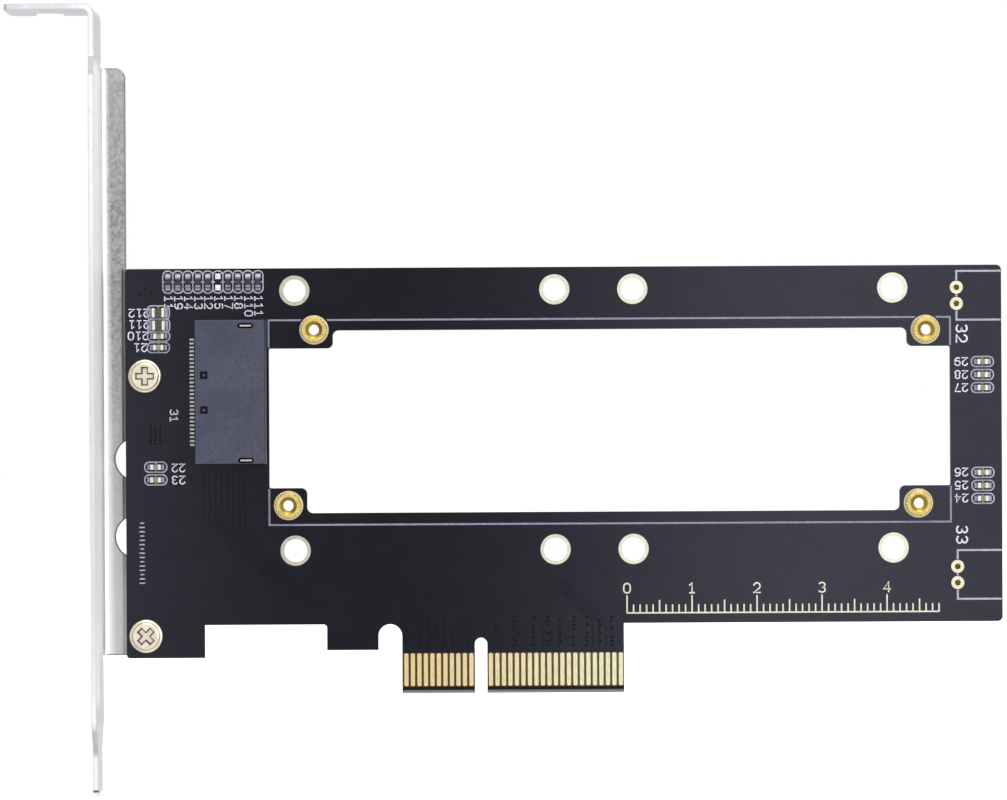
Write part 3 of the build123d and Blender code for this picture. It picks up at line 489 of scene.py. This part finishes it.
# Painted shade on the rolled rims of the sheared edges
lay(zinc, "#d2d2d6", sheared, within(rim, 0.32, 1.0, 0.05))
lay(zinc, "#8c8c8e", in_front, within(point["Z"], STEP_LOW, STEP_HIGH, 0.1),
    within(facing["Y"], -0.97, -0.1))
lay(zinc, "#b2b2b5", sheared, within(point["X"], -FAR, bracket_low.x + 0.5, 0.1))
lay(zinc, "#c8c8d2", sheared, within(point["Z"], TONGUE_TOP - TONGUE_SHOULDER, TONGUE_TOP, 0.3))
lay(zinc, "#5a5a58", sheared, within(point["Z"], -FAR, bracket_low.z + 0.5, 0.1))
lay(zinc, "#c9cacf", inward_face, within(point["Z"], TONGUE_TOP, -1.0, 1.0))
print("upper bend round X", round(bend_x, 2), "Z", round(bend_z, 2))

# %% [markdown]
# The flange passes behind the board. Two thin dark strips beside the board's edge are its
# shadow and the slit between the two, and they fade lower down, where the gap is open to
# the light. The flange's own cut ends and the rims of its two scallops show as thin grey lines,
# painted shade of their rolled edges.

# %% Flange beside the board
behind = within(point["Y"], 0.7, 3.0)
# Painted shade along the flange's cut ends
lay(zinc, "#8f8f8f", behind, within(point["Z"], BOARD_TOP + 0.2, FAR),
    within(point["X"], board_left - 0.12, board_left + 0.3))
lay(zinc, "#a4a4a0", behind, within(point["Z"], FLANGE_TOP - 0.35, FLANGE_TOP))
lay(zinc, "#8a8a84", behind, within(point["Z"], FLANGE_LOW, FLANGE_LOW + 0.25))
fainter = add(tree, "ShaderNodeMapRange", {"Value": point["Z"], "From Min": 15.0, "From Max": 32.0,
                                           "To Min": 0.35, "To Max": 1.0})
beside_board = every(behind, within(point["Z"], FLANGE_LOW, BOARD_TOP), fainter)
lay(zinc, "#55544e", beside_board, within(point["X"], board_left - 0.62, board_left - 0.32, 0.08))
lay(zinc, "#83837a", beside_board, within(point["X"], board_left - 0.3, board_left + 0.5, 0.05))
# Painted shade on the rims of the scallops
for z in SCALLOP_HEIGHTS:
    ring = from_centre(point, board_left + SCALLOP_INSET, z)
    lay(zinc, "#6e6e68", behind, within(ring, SCALLOP - 0.2, SCALLOP + 0.2, 0.06))
cover(zinc, "slot_bracket")
print("bracket finished")

# %% [markdown]
# The standoffs are turned from free cutting brass. Their tops are pale and bright, while the
# countersink round the hole throws its light inwards and looks deeper.

# %% Turned brass
brass = begin_finish("turned_brass", "#d5bd70", "#e6d593", 0.5, metallic=1.0, rough=(0.35, 0.45),
                     bump=0.003)
point, facing = brass.point, brass.facing
lay(brass, "#b89e4a", within(facing["Y"], -0.9, -0.3, 0.05), within(point["Y"], -2.78, -1.0, 0.01))
cover(brass, "drive_standoffs")
print("standoffs finished")

# %% [markdown]
# The connector is glass filled thermoplastic, slate blue and mottled where the filler came
# to the surface, with larger, fainter clouds from the way it flowed. Two square marks are
# moulded into its top, and their sunken floors are almost black. The chips are fired
# ceramic: khaki capacitors, of which the two large ones are darker, and resistors with a
# dark glaze. The print is white epoxy ink, matt, and greyer the thinner it lies.

# %% Plastic, ceramic and ink
moulding = begin_finish("glass_filled_thermoplastic", "#343546", "#424358", 0.55, rough=(0.44, 0.58),
                        bump=0.01)
tree, point = moulding.tree, moulding.point
# Clouds about 4.5 mm wide
clouds = add(tree, "ShaderNodeTexNoise", {"Vector": moulding.mm, "Scale": 0.22, "Detail": 3.0})
filler = add(tree, "ShaderNodeMapRange", {"Value": clouds, "From Min": 0.42, "From Max": 0.66,
                                          "To Min": 0.0, "To Max": 0.6})
lay(moulding, "#2a2d44", filler)
marks = within(point["Y"], -6.0, -5.8, 0.05)
lay(moulding, "#0c0e20", marks)
sunken = add(tree, "ShaderNodeMapRange", {"Value": marks, "To Min": 0.5, "To Max": 0.1})
tree.links.new(sunken.outputs[0], moulding.shader.inputs["Specular IOR Level"])
cover(moulding, "drive_connector_housing")

glaze = begin_finish("resistor_glaze", "#1f1e24", "#33323b", 0.4, rough=(0.2, 0.35))
cover(glaze, "resistor_bodies")

ceramic = begin_finish("fired_ceramic", "#77765d", "#939178", 0.8, rough=(0.45, 0.6))
lay(ceramic, "#45442b", within(ceramic.point["X"], -FAR, -48.0), within(ceramic.point["Z"], 56.0, FAR))
cover(ceramic, "capacitor_bodies")

MATT = (0.55, 0.7)
bright_ink = begin_finish("thick_epoxy_ink", "#c2c2d0", "#dedeea", 0.5, rough=MATT)
ink = begin_finish("white_epoxy_ink", "#9797a5", "#a8a8b6", 0.5, rough=MATT)
grey_ink = begin_finish("spread_epoxy_ink", "#9696a8", "#a8a8b9", 0.5, rough=MATT)
thin_ink = begin_finish("thin_epoxy_ink", "#74778b", "#888ba0", 0.5, rough=MATT)
cover(ink, "header_outline_print")
cover(grey_ink, "chip_outline_print")
cover(thin_ink, "drive_outline_print")
print("all CAD nodes have a finish")

# %% [markdown]
# What repeats is made with Geometry Nodes. Each tree is built once in the script, with its
# sizes as named inputs. The maker below puts a tree on an object as a modifier, sets the
# inputs by their sockets' identifiers, turns the result into a plain mesh, and removes the
# modifier with its source, so that what is left is an ordinary piece at the origin.

# %% Making and baking node trees
SOCKETS = {"number": "NodeSocketFloat", "object": "NodeSocketObject",
           "material": "NodeSocketMaterial"}


def new_tree(name, inputs):
    """Begin a node tree with named inputs, each a number, an object or a material."""
    tree = bpy.data.node_groups.new(name, "GeometryNodeTree")
    tree.interface.new_socket("Geometry", in_out="INPUT", socket_type="NodeSocketGeometry")
    for label, kind in inputs.items():
        tree.interface.new_socket(label, in_out="INPUT", socket_type=SOCKETS[kind])
    tree.interface.new_socket("Geometry", in_out="OUTPUT", socket_type="NodeSocketGeometry")
    return tree, add(tree, "NodeGroupInput")


def close_tree(tree, geometry, material):
    """End a tree: make the copies real, keep their faces flat, and give them their finish."""
    whole = add(tree, "GeometryNodeRealizeInstances", {0: geometry})
    flat = add(tree, "GeometryNodeSetShadeSmooth", {"Geometry": whole, "Shade Smooth": False})
    painted = add(tree, "GeometryNodeSetMaterial", {"Geometry": flat, "Material": material})
    add(tree, "NodeGroupOutput", {0: painted})


def grown(name, data, tree, slot, **values):
    """Run a tree on mesh or curve data, with its inputs by name, and keep a plain piece of the card."""
    source = bpy.data.objects.new(name + "_source", data)
    bpy.context.scene.collection.objects.link(source)
    modifier = source.modifiers.new("Nodes", "NODES")
    modifier.node_group = tree
    for socket in tree.interface.items_tree:
        if socket.in_out == "INPUT" and socket.name in values:
            modifier[socket.identifier] = values[socket.name]
    graph = bpy.context.evaluated_depsgraph_get()
    mesh = bpy.data.meshes.new_from_object(source.evaluated_get(graph), depsgraph=graph)
    bpy.data.objects.remove(source)
    if "Shape" in values:
        bpy.data.objects.remove(values["Shape"])
    piece = bpy.data.objects.new(name, mesh)
    bpy.context.scene.collection.objects.link(piece)
    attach(piece, "root")
    low = [min(v.co[i] for v in mesh.vertices) / MM for i in range(3)]
    high = [max(v.co[i] for v in mesh.vertices) / MM for i in range(3)]
    print(name, len(mesh.polygons), "faces", [round(v, 2) for v in low], [round(v, 2) for v in high])
    return piece


print("trees are baked to plain meshes")

# %% [markdown]
# Lines of ink and strips of copper are flat strips that follow a path. Curve to Mesh sweeps
# a low rectangle along each stroke, and a small round plate on every point of the path
# rounds its ends and bends, as a pen or a plotter does.

# %% A tree for flat strips
strips, entry = new_tree("Flat_strips", {"Width": "number", "Height": "number", "Material": "material"})
level = add(strips, "GeometryNodeSetCurveNormal", {"Curve": entry.outputs["Geometry"]}, mode="Z_UP")
section = add(strips, "GeometryNodeCurvePrimitiveQuadrilateral", {"Width": entry.outputs["Width"],
                                                                  "Height": entry.outputs["Height"]})
sweep = add(strips, "GeometryNodeCurveToMesh", {"Curve": level, "Profile Curve": section, "Fill Caps": True})
half = add(strips, "ShaderNodeMath", {0: entry.outputs["Width"], 1: 0.5}, operation="MULTIPLY")
lower = add(strips, "ShaderNodeMath", {0: entry.outputs["Height"], 1: 0.96}, operation="MULTIPLY")
plate = add(strips, "GeometryNodeMeshCylinder", {"Vertices": 12, "Radius": half, "Depth": lower})
dots = add(strips, "GeometryNodeInstanceOnPoints", {"Points": entry.outputs["Geometry"],
                                                    "Instance": plate.outputs["Mesh"]})
joined = add(strips, "GeometryNodeJoinGeometry")
strips.links.new(sweep.outputs[0], joined.inputs[0])
strips.links.new(dots.outputs[0], joined.inputs[0])
upright = add(strips, "GeometryNodeTransform", {"Geometry": joined, "Rotation": (math.radians(90), 0, 0)})
close_tree(strips, upright, entry.outputs["Material"])


def paths(name, lines, height):
    """Curve data from lists of points in mm, given as X and Z, lying on the board's front."""
    curve = bpy.data.curves.new(name, "CURVE")
    curve.dimensions = "3D"
    for line in lines:
        spline = curve.splines.new("POLY")
        spline.points.add(len(line) - 1)
        for point, (x, z) in zip(spline.points, line):
            point.co = (x * MM, z * MM, height * MM, 1)
    return curve


print("strips tree has", len(strips.nodes), "nodes")

# %% [markdown]
# The printed numbers are drawn with a plotter's strokes. Each digit is a few lines and arcs
# in a box one unit wide and one and a half high. A number has a place, a height and a turn,
# because the print runs downwards beside the resistors and upside down beside the
# capacitors. The front of the board faces -Y, where X still runs to the right.

# %% Digits as strokes
def arc(x, y, rx, ry, first, last, steps=8):
    """Points of an elliptic arc, with its angles in degrees."""
    turns = [math.radians(first + (last - first) * i / steps) for i in range(steps + 1)]
    return [(x + rx * math.cos(t), y + ry * math.sin(t)) for t in turns]


DIGITS = {
    "0": [arc(0.5, 0.95, 0.5, 0.55, 0, 180) + arc(0.5, 0.55, 0.5, 0.55, 180, 360) + [(1.0, 0.95)]],
    "1": [[(0.15, 1.2), (0.5, 1.5), (0.5, 0.0)], [(0.15, 0.0), (0.85, 0.0)]],
    "2": [arc(0.5, 1.0, 0.48, 0.5, 165, -40) + [(0.0, 0.0), (1.0, 0.0)]],
    "3": [arc(0.5, 1.12, 0.45, 0.38, 150, -90) + arc(0.5, 0.38, 0.5, 0.38, 90, -150)],
    "4": [[(0.75, 0.0), (0.75, 1.5), (0.0, 0.45), (1.0, 0.45)]],
    "5": [[(0.9, 1.5), (0.15, 1.5), (0.08, 0.85)] + arc(0.48, 0.5, 0.5, 0.5, 120, -150)],
    "6": [arc(0.6, 0.8, 0.6, 0.7, 60, 180, 5) + arc(0.5, 0.47, 0.5, 0.47, 180, 540, 12)],
    "7": [[(0.0, 1.5), (1.0, 1.5), (0.4, 0.0)]],
    "8": [arc(0.5, 1.12, 0.42, 0.38, -90, 270, 12), arc(0.5, 0.38, 0.5, 0.38, 90, 450, 12)],
    "9": [arc(0.4, 0.7, 0.6, 0.7, -120, 0, 5) + arc(0.5, 1.03, 0.5, 0.47, 0, 360, 12)],
}


def number(text, x, z, height, turn=0):
    """Strokes of a number, centred on a place of the board and turned round it, in degrees."""
    unit = height / 1.5
    advance = 1.42
    first = -((len(text) - 1) * advance + 1) / 2
    cosine, sine = math.cos(math.radians(turn)), math.sin(math.radians(turn))
    lines = []
    for i, digit in enumerate(text):
        for stroke in DIGITS[digit]:
            line = []
            for u, v in stroke:
                along, up = (first + i * advance + u) * unit, (v - 0.75) * unit
                line.append((x + along * cosine - up * sine, z + along * sine + up * cosine))
            lines.append(line)
    return lines


print("digits", len(DIGITS))

# %% Printed numbers beside the parts
RESISTOR_NUMBERS = ("11", "19", "14", "13", "12", "15", "17", "18", "110", "111")
small_numbers = []
for i, text in enumerate(RESISTOR_NUMBERS):
    small_numbers += number(text, -47.8 + i * 1.54, 61.5 - 0.59 * len(text), 1.2, -90)
for text, x, z in (("212", -52.35, 58.7), ("211", -52.35, 56.95), ("210", -52.5, 55.2), ("21", -52.15, 53.4),
                   ("22", -46.4, 34.85), ("23", -46.4, 33.0), ("29", 74.1, 50.6), ("28", 74.1, 48.6),
                   ("27", 74.1, 46.6), ("26", 74.05, 33.6), ("25", 74.05, 31.6), ("24", 74.05, 29.6)):
    small_numbers += number(text, x, z, 1.2, 180)
small_numbers += number("31", -47.05, 42.9, 1.15, -90)
INK = 0.03
grown("part_numbers_print", paths("small", small_numbers, FRONT + INK / 2), strips, "white_print",
      Width=0.19 * MM, Height=INK * MM, Material=bright_ink.material)

large_numbers = number("32", 74.2, 54.95, 1.64, -90) + number("33", 74.1, 24.0, 1.64, -90)
grown("header_numbers_print", paths("large", large_numbers, FRONT + INK / 2), strips, "white_print",
      Width=0.26 * MM, Height=INK * MM, Material=bright_ink.material)

# %% [markdown]
# Two small things fill places that stay free of words. A column of short white dashes runs
# down the bracket end of the board, and a plain millimetre scale in bare gold lies over the
# lower right, with longer ticks at five and ten millimetres and a number at each ten.

# %% Dashes and the gold scale
DASH_X, DASH_TOP, DASH_STEP = -52.05, 26.4, 0.66
dashes = []
for i in range(15):
    z = DASH_TOP - i * DASH_STEP
    reach = 0.34 if i % 3 else 0.22
    dashes.append([(DASH_X - reach, z), (DASH_X + reach, z)])
grown("dash_column_print", paths("dashes", dashes, FRONT + INK / 2), strips, "white_print",
      Width=0.2 * MM, Height=INK * MM, Material=grey_ink.material)

SCALE_START, SCALE_LOW, SCALE_LENGTH = 22.5, 12.2, 48
ticks = []
for i in range(SCALE_LENGTH + 1):
    x = SCALE_START + i
    reach = 2.6 if i % 10 == 0 else 1.9 if i % 5 == 0 else 1.2
    ticks.append([(x, SCALE_LOW), (x, SCALE_LOW + reach)])
ticks.append([(SCALE_START, SCALE_LOW), (SCALE_START + SCALE_LENGTH, SCALE_LOW)])
for i in range(5):
    ticks += number(str(i), SCALE_START + i * 10, 16.0, 1.5)
grown("millimetre_scale", paths("scale", ticks, FRONT + INK / 2), strips, "gold_plate",
      Width=0.22 * MM, Height=INK * MM, Material=ring_gold.material)

# %% [markdown]
# Copper tracks run under the mask and lift it by a hair, so they show only as faint lines.
# A few run down from the drive connector and off to the right, and short ones rise from the
# contacts. The mask lies thinner on them and looks a shade darker.

# %% Tracks under the mask
mask_on_copper = begin_finish("solder_mask_on_copper", "#08080c", "#0c0c10", 1.5, rough=(0.12, 0.16))
shader = mask_on_copper.shader
shader.inputs["IOR"].default_value = 1.6
shader.inputs["Specular Tint"].default_value = linear("#cfcdf0")
shader.inputs["Specular IOR Level"].default_value = 0.44
TRACK_LOW = 7.2
tracks = []
for i in range(8):
    x = -42.5 + i * 0.9
    bend = 27.0 - i * 0.25
    tracks.append([(x, 34.6), (x, bend), (x + 9.5, bend - 9.5), (x + 9.5, bend - 11.0)])
for i in range(9):
    x = -11.5 + i * 1.2
    tracks.append([(x, TRACK_LOW), (x, 10.6 + (i % 3) * 0.9)])
for i in range(4):
    x = 20.3 - i * 1.05
    tracks.append([(x, TRACK_LOW), (x, 10.0 + i * 0.3), (x - 7.6, 17.6 + i * 0.3)])
for i in range(8):
    x = 3.0 + i * 1.3
    tracks.append([(x, TRACK_LOW), (x, 9.6 + (i % 3) * 0.8)])
COPPER = 0.002
grown("masked_tracks", paths("tracks", tracks, FRONT + COPPER / 2), strips, "mask_black_board",
      Width=0.24 * MM, Height=COPPER * MM, Material=mask_on_copper.material)

# %% [markdown]
# Small solid shapes that stand in rows or circles are made once and copied onto points. Each
# point carries two attributes: a turn about the board's normal, and a stretch along the
# shape's own three axes. The shape is a prism, an outline drawn in millimetres and pulled
# along one axis, and it reaches the tree as an object input.

# %% A tree for copies on points
copies, entry = new_tree("Copies_on_points", {"Shape": "object", "Material": "material"})
shape = add(copies, "GeometryNodeObjectInfo", {"Object": entry.outputs["Shape"], "As Instance": False})
turn = add(copies, "GeometryNodeInputNamedAttribute", {"Name": "turn"}, data_type="FLOAT")
stretch = add(copies, "GeometryNodeInputNamedAttribute", {"Name": "stretch"}, data_type="FLOAT_VECTOR")
about = add(copies, "ShaderNodeCombineXYZ", {1: turn})
placed = add(copies, "GeometryNodeInstanceOnPoints", {
    "Points": entry.outputs["Geometry"], "Instance": shape.outputs["Geometry"], "Rotation": about,
    "Scale": stretch})
close_tree(copies, placed, entry.outputs["Material"])


def prism(name, outline, low, high, axis="Y"):
    """A solid from an outline in mm, pulled from low to high along Y, or along Z."""
    count = len(outline)
    area = sum(a * d - c * b for (a, b), (c, d) in zip(outline, outline[1:] + outline[:1]))
    ring = outline if (area > 0) == (axis == "Z") else outline[::-1]
    vertices = []
    for level in (low, high):
        for u, v in ring:
            vertices.append((u * MM, level * MM, v * MM) if axis == "Y" else (u * MM, v * MM, level * MM))
    faces = [tuple(range(count))[::-1], tuple(range(count, 2 * count))]
    faces += [(i, (i + 1) % count, count + (i + 1) % count, count + i) for i in range(count)]
    mesh = bpy.data.meshes.new(name)
    mesh.from_pydata(vertices, [], faces)
    return bpy.data.objects.new(name, mesh)


def spots(name, rows):
    """Mesh points in mm, each with its turn in degrees and its stretch."""
    mesh = bpy.data.meshes.new(name)
    mesh.from_pydata([tuple(c * MM for c in place) for place, turn, stretch in rows], [], [])
    mesh.attributes.new("turn", "FLOAT", "POINT")
    mesh.attributes.new("stretch", "FLOAT_VECTOR", "POINT")
    for i, (place, turn, stretch) in enumerate(rows):
        mesh.attributes["turn"].data[i].value = math.radians(turn)
        mesh.attributes["stretch"].data[i].vector = stretch
    return mesh


print("copies tree has", len(copies.nodes), "nodes")

# %% [markdown]
# Solder climbs the ends of a chip and runs out onto its pad in a hollow curve. The section
# below is the pad with that curve on it. It stands at both ends of every chip and replaces
# the straight ramps of the CAD node. Its places come from the chips' bodies and caps. A
# low chip has the same section pressed flatter, so the pad reaches a little into the mask.

# %% Solder of the chips
PAD, TUCK, REACH, CLIMB, RUN = 0.05, 0.35, 0.5, 0.48, 0.33
bend = [math.radians(a) for a in range(0, 91, 15)]
ramp_curve = [(RUN * (1 - math.sin(a)), CLIMB * (math.cos(a) - 1)) for a in bend]
joint = prism("joint_shape", [(REACH, 0.09), (REACH, 0)] + ramp_curve + [(0, 0), (-TUCK, 0), (-TUCK, 0.09)],
              -0.5, 0.5, "Z")
joints = []
for bodies, caps in (("resistor_bodies", "resistor_end_caps"), ("capacitor_bodies", "capacitor_end_caps")):
    centres = [(low + high) / 2 for low, high in solids(bodies)]
    for low, high in solids(caps):
        cap = (low + high) / 2
        away = cap - min(centres, key=lambda centre: (cap - centre).length)
        climb = (high.y - low.y) * 0.6 / CLIMB
        if abs(away.x) > abs(away.z):
            place = (high.x if away.x > 0 else low.x, -FRONT - PAD, cap.z)
            joints.append((place, 0 if away.x > 0 else 180, (1, climb, high.z - low.z)))
        else:
            place = (cap.x, -FRONT - PAD, high.z if away.z > 0 else low.z)
            joints.append((place, -90 if away.z > 0 else 90, (1, climb, high.x - low.x)))
piece = grown("chip_solder_fillets", spots("joints", joints), copies, "solder", Shape=joint,
              Material=solder.material)
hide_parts("chip_solder_joints")

# %% [markdown]
# The standoffs are knurled round their sides. A knurl is a row of straight teeth, here a
# three sided prism that stands on a circle round each standoff, turned to face outwards.

# %% Knurl of the standoffs
TEETH = 24
BODY = 2.0
tooth = prism("tooth_shape", [(-0.2, -0.2), (0.06, 0.0), (-0.2, 0.2)], -2.78, -0.86)
teeth = []
for place in standoffs:
    for i in range(TEETH):
        turn = 360 / TEETH * i
        x = place.x + BODY * math.cos(math.radians(turn))
        z = place.z + BODY * math.sin(math.radians(turn))
        teeth.append(((x, 0, z), -turn, (1, 1, 1)))
grown("standoff_knurl", spots("teeth", teeth), copies, "turned_brass", Shape=tooth, Material=brass.material)

# %% [markdown]
# The screws pass the bracket's tabs and end behind them. Their thread is a stack of sharp
# rings, half a millimetre apart, round the plain stem of the CAD screw. Seen from a step
# away, rings can't be told from a helix of so fine a pitch.

# %% Thread of the screws
PITCH = 0.5
STEM = 1.45
stem_end = max(high.y for low, high in solids("bracket_screws"))
SIDES = 20
thread_verts, thread_faces = [], []
for i in range(SIDES):
    turn = math.radians(360 / SIDES * i)
    for radius, y in ((STEM - 0.05, -0.15), (STEM + 0.12, 0.0), (STEM - 0.05, 0.15)):
        thread_verts.append((radius * math.cos(turn) * MM, y * MM, radius * math.sin(turn) * MM))
for i in range(SIDES):
    a, b = 3 * i, 3 * ((i + 1) % SIDES)
    for j in range(3):
        thread_faces.append((a + j, a + (j + 1) % 3, b + (j + 1) % 3, b + j))
thread_mesh = bpy.data.meshes.new("thread_shape")
thread_mesh.from_pydata(thread_verts, [], thread_faces)
thread = bpy.data.objects.new("thread_shape", thread_mesh)
turns = [((screw_x, stem_end - 0.45 - PITCH * i, place.z), 0, (1, 1, 1))
         for place in screws for i in range(2)]
grown("screw_threads", spots("turns", turns), copies, "nickel_plated_steel", Shape=thread,
      Material=nickel.material)

# %% [markdown]
# Small plated holes take the tracks through the board. The mask closes them, and each shows
# as a dark dimple. They stand in broken columns over the gold contacts, in a small grid
# between the bracket screws, and one by one at the upper left.

# %% Holes closed by the mask
dimple_mask = begin_finish("solder_mask_in_holes", "#05050b", "#0a0a12", 0.4, rough=(0.3, 0.4))
dimple_mask.shader.inputs["Specular IOR Level"].default_value = 0.15
DIMPLE = 0.17
corners = [math.radians(a) for a in range(0, 360, 45)]
round_outline = [(DIMPLE * math.cos(a), DIMPLE * math.sin(a)) for a in corners]
dimple = prism("dimple_shape", round_outline, -FRONT - 0.006, -FRONT)
holes = []
for i, x in enumerate((-9.6, -8.1, -5.9, 2.2, 5.0, 8.0, 10.2, 12.1, 14.2, 16.2, 18.2, 20.0)):
    for k in range(8):
        if (i * 5 + k * 3) % 7 > 1:
            holes.append(((x + 0.14 * (k % 2), 0, 7.3 + k * 0.62), 0, (1.35, 1, 1.35)))
for i in range(3):
    for k in range(6):
        holes.append(((-50.7 + i * 0.75, 0, 38.6 + k * 0.52), 0, (1.2, 1, 1.2)))
for x, z in ((-52.1, 61.6), (-51.3, 62.4), (-50.4, 61.9)):
    holes.append(((x, 0, z), 0, (1.2, 1, 1.2)))
grown("masked_holes", spots("holes", holes), copies, "mask_black_board", Shape=dimple,
      Material=dimple_mask.material)

# %% [markdown]
# The stage is a pale floor and a white room. The floor shows white to the camera, and still
# takes the card's shadow. The board is glossy, so it mirrors what stands behind the camera:
# a dark camera and its stand on the left, and a white wall on the right. The world holds
# that as a strip of greys across the line from the card to the camera, for glossy rays
# alone. Three soft lamps give the light.

# %% Floor
def stage_finish(name, colour, near, far):
    """A pale floor that takes a shadow, shows white to the camera, and isn't mirrored."""
    material = bpy.data.materials.new(name)
    material.use_nodes = True
    tree = material.node_tree
    tree.nodes.clear()
    place = add(tree, "ShaderNodeTexCoord")
    away = add(tree, "ShaderNodeVectorMath", {0: place.outputs["Object"]}, operation="LENGTH")
    lift = add(tree, "ShaderNodeMapRange", {"Value": away.outputs["Value"], "From Min": 0.1, "From Max": 0.6,
                                            "To Min": near, "To Max": far})
    paint = add(tree, "ShaderNodeBsdfDiffuse", {"Color": linear(colour)})
    glow = add(tree, "ShaderNodeEmission", {"Color": (1, 1, 1, 1), "Strength": lift})
    rays = add(tree, "ShaderNodeLightPath")
    both = add(tree, "ShaderNodeAddShader", {0: paint, 1: glow})
    seen = add(tree, "ShaderNodeMixShader", {0: rays.outputs["Is Camera Ray"], 1: paint, 2: both})
    clear = add(tree, "ShaderNodeBsdfTransparent")
    whole = add(tree, "ShaderNodeMixShader", {0: rays.outputs["Is Glossy Ray"], 1: seen, 2: clear})
    add(tree, "ShaderNodeOutputMaterial", {0: whole})
    return material


floor_mesh = bpy.data.meshes.new("floor")
under = cad_low.z - 0.0005
floor_mesh.from_pydata([(-4, -4, under), (4, -4, under), (4, 4, under), (-4, 4, under)], [], [(0, 1, 2, 3)])
floor = bpy.data.objects.new("floor", floor_mesh)
floor.data.materials.append(stage_finish("pale_floor", "#eeeeee", 0.3, 0.6))
bpy.context.scene.collection.objects.link(floor)
floor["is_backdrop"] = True
print("floor lies", round(under / MM, 2), "mm from the origin")

# %% Room and lamps
world = bpy.data.worlds.new("Studio")
bpy.context.scene.world = world
world.use_nodes = True
tree = world.node_tree
tree.nodes.clear()
heading = add(tree, "ShaderNodeTexCoord")
ray = add(tree, "ShaderNodeSeparateXYZ", {0: heading.outputs["Generated"]})
frontal = add(tree, "ShaderNodeMath", {0: ray.outputs["Y"], 1: -1.0}, operation="MULTIPLY")
ahead = add(tree, "ShaderNodeMath", {0: frontal, 1: 0.05}, operation="MAXIMUM")
aside = add(tree, "ShaderNodeMath", {0: ray.outputs["X"], 1: ahead}, operation="DIVIDE")
upward = add(tree, "ShaderNodeMath", {0: ray.outputs["Z"], 1: ahead}, operation="DIVIDE")
tall = add(tree, "ShaderNodeMath", {0: upward}, operation="ABSOLUTE")
across = add(tree, "ShaderNodeMapRange", {"Value": aside, "From Min": -0.5, "From Max": 0.5})
card_side = add(tree, "ShaderNodeValToRGB", {0: across})
# Brightness of the room against the slope of the ray, sideways from the camera
ROOM = ((-0.45, 1.0), (-0.2, 0.9), (-0.06, 0.95), (-0.049, 0.3), (-0.042, 0.0), (-0.006, 0.0), (0.006, 0.12),
        (0.03, 1.2), (0.045, 1.75), (0.057, 1.35), (0.08, 0.8), (0.2, 1.0))
ramp = card_side.color_ramp
for i, (slope, bright) in enumerate(ROOM):
    stop = ramp.elements[i] if i < 2 else ramp.elements.new(1.0)
    stop.position = slope + 0.5
    stop.color = (bright, bright, bright, 1)
over = add(tree, "ShaderNodeMapRange", {"Value": tall, "From Min": 0.12, "From Max": 0.3})
mirrored = add(tree, "ShaderNodeMix", {0: over, 6: card_side, 7: (1, 1, 1, 1)}, data_type="RGBA")
rays = add(tree, "ShaderNodeLightPath")
plain = add(tree, "ShaderNodeMath", {0: rays.outputs["Is Camera Ray"],
                                     1: rays.outputs["Is Transmission Ray"]}, operation="MAXIMUM")
dim = add(tree, "ShaderNodeBackground", {"Color": (1, 1, 1, 1), "Strength": 0.55})
white = add(tree, "ShaderNodeBackground", {"Color": (1, 1, 1, 1), "Strength": 1.0})
shiny = add(tree, "ShaderNodeBackground", {"Color": mirrored.outputs[2], "Strength": 1.0})
lit = add(tree, "ShaderNodeMixShader", {0: rays.outputs["Is Glossy Ray"], 1: dim, 2: shiny})
shown = add(tree, "ShaderNodeMixShader", {0: plain, 1: lit, 2: white})
add(tree, "ShaderNodeOutputWorld", {0: shown})


def softbox(name, place, size, power):
    """A square area lamp that faces the middle of the card."""
    lamp = bpy.data.lights.new(name, "AREA")
    lamp.size = size
    lamp.energy = power
    holder = bpy.data.objects.new(name, lamp)
    holder.location = place
    aim = Vector((0.005, 0, 0.045)) - Vector(place)
    holder.rotation_euler = aim.to_track_quat("-Z", "Y").to_euler()
    holder.visible_camera = False
    bpy.context.scene.collection.objects.link(holder)


softbox("softbox_above", (0.1, -0.5, 1.3), 1.0, 14)
softbox("softbox_front_right", (1.1, -1.2, 0.5), 0.8, 10)
softbox("softbox_behind", (-0.4, 1.3, 0.8), 1.0, 8)
print("stage and lamps are set")

# %% [markdown]
# Before the end, the sizes of the CAD box and of the dressed card are written side by side,
# so that they can be compared.

# %% Sizes and finish
low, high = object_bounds()
print("cad", [round(v / MM, 2) for v in cad_high - cad_low], "visual", [round(v / MM, 2) for v in high - low])
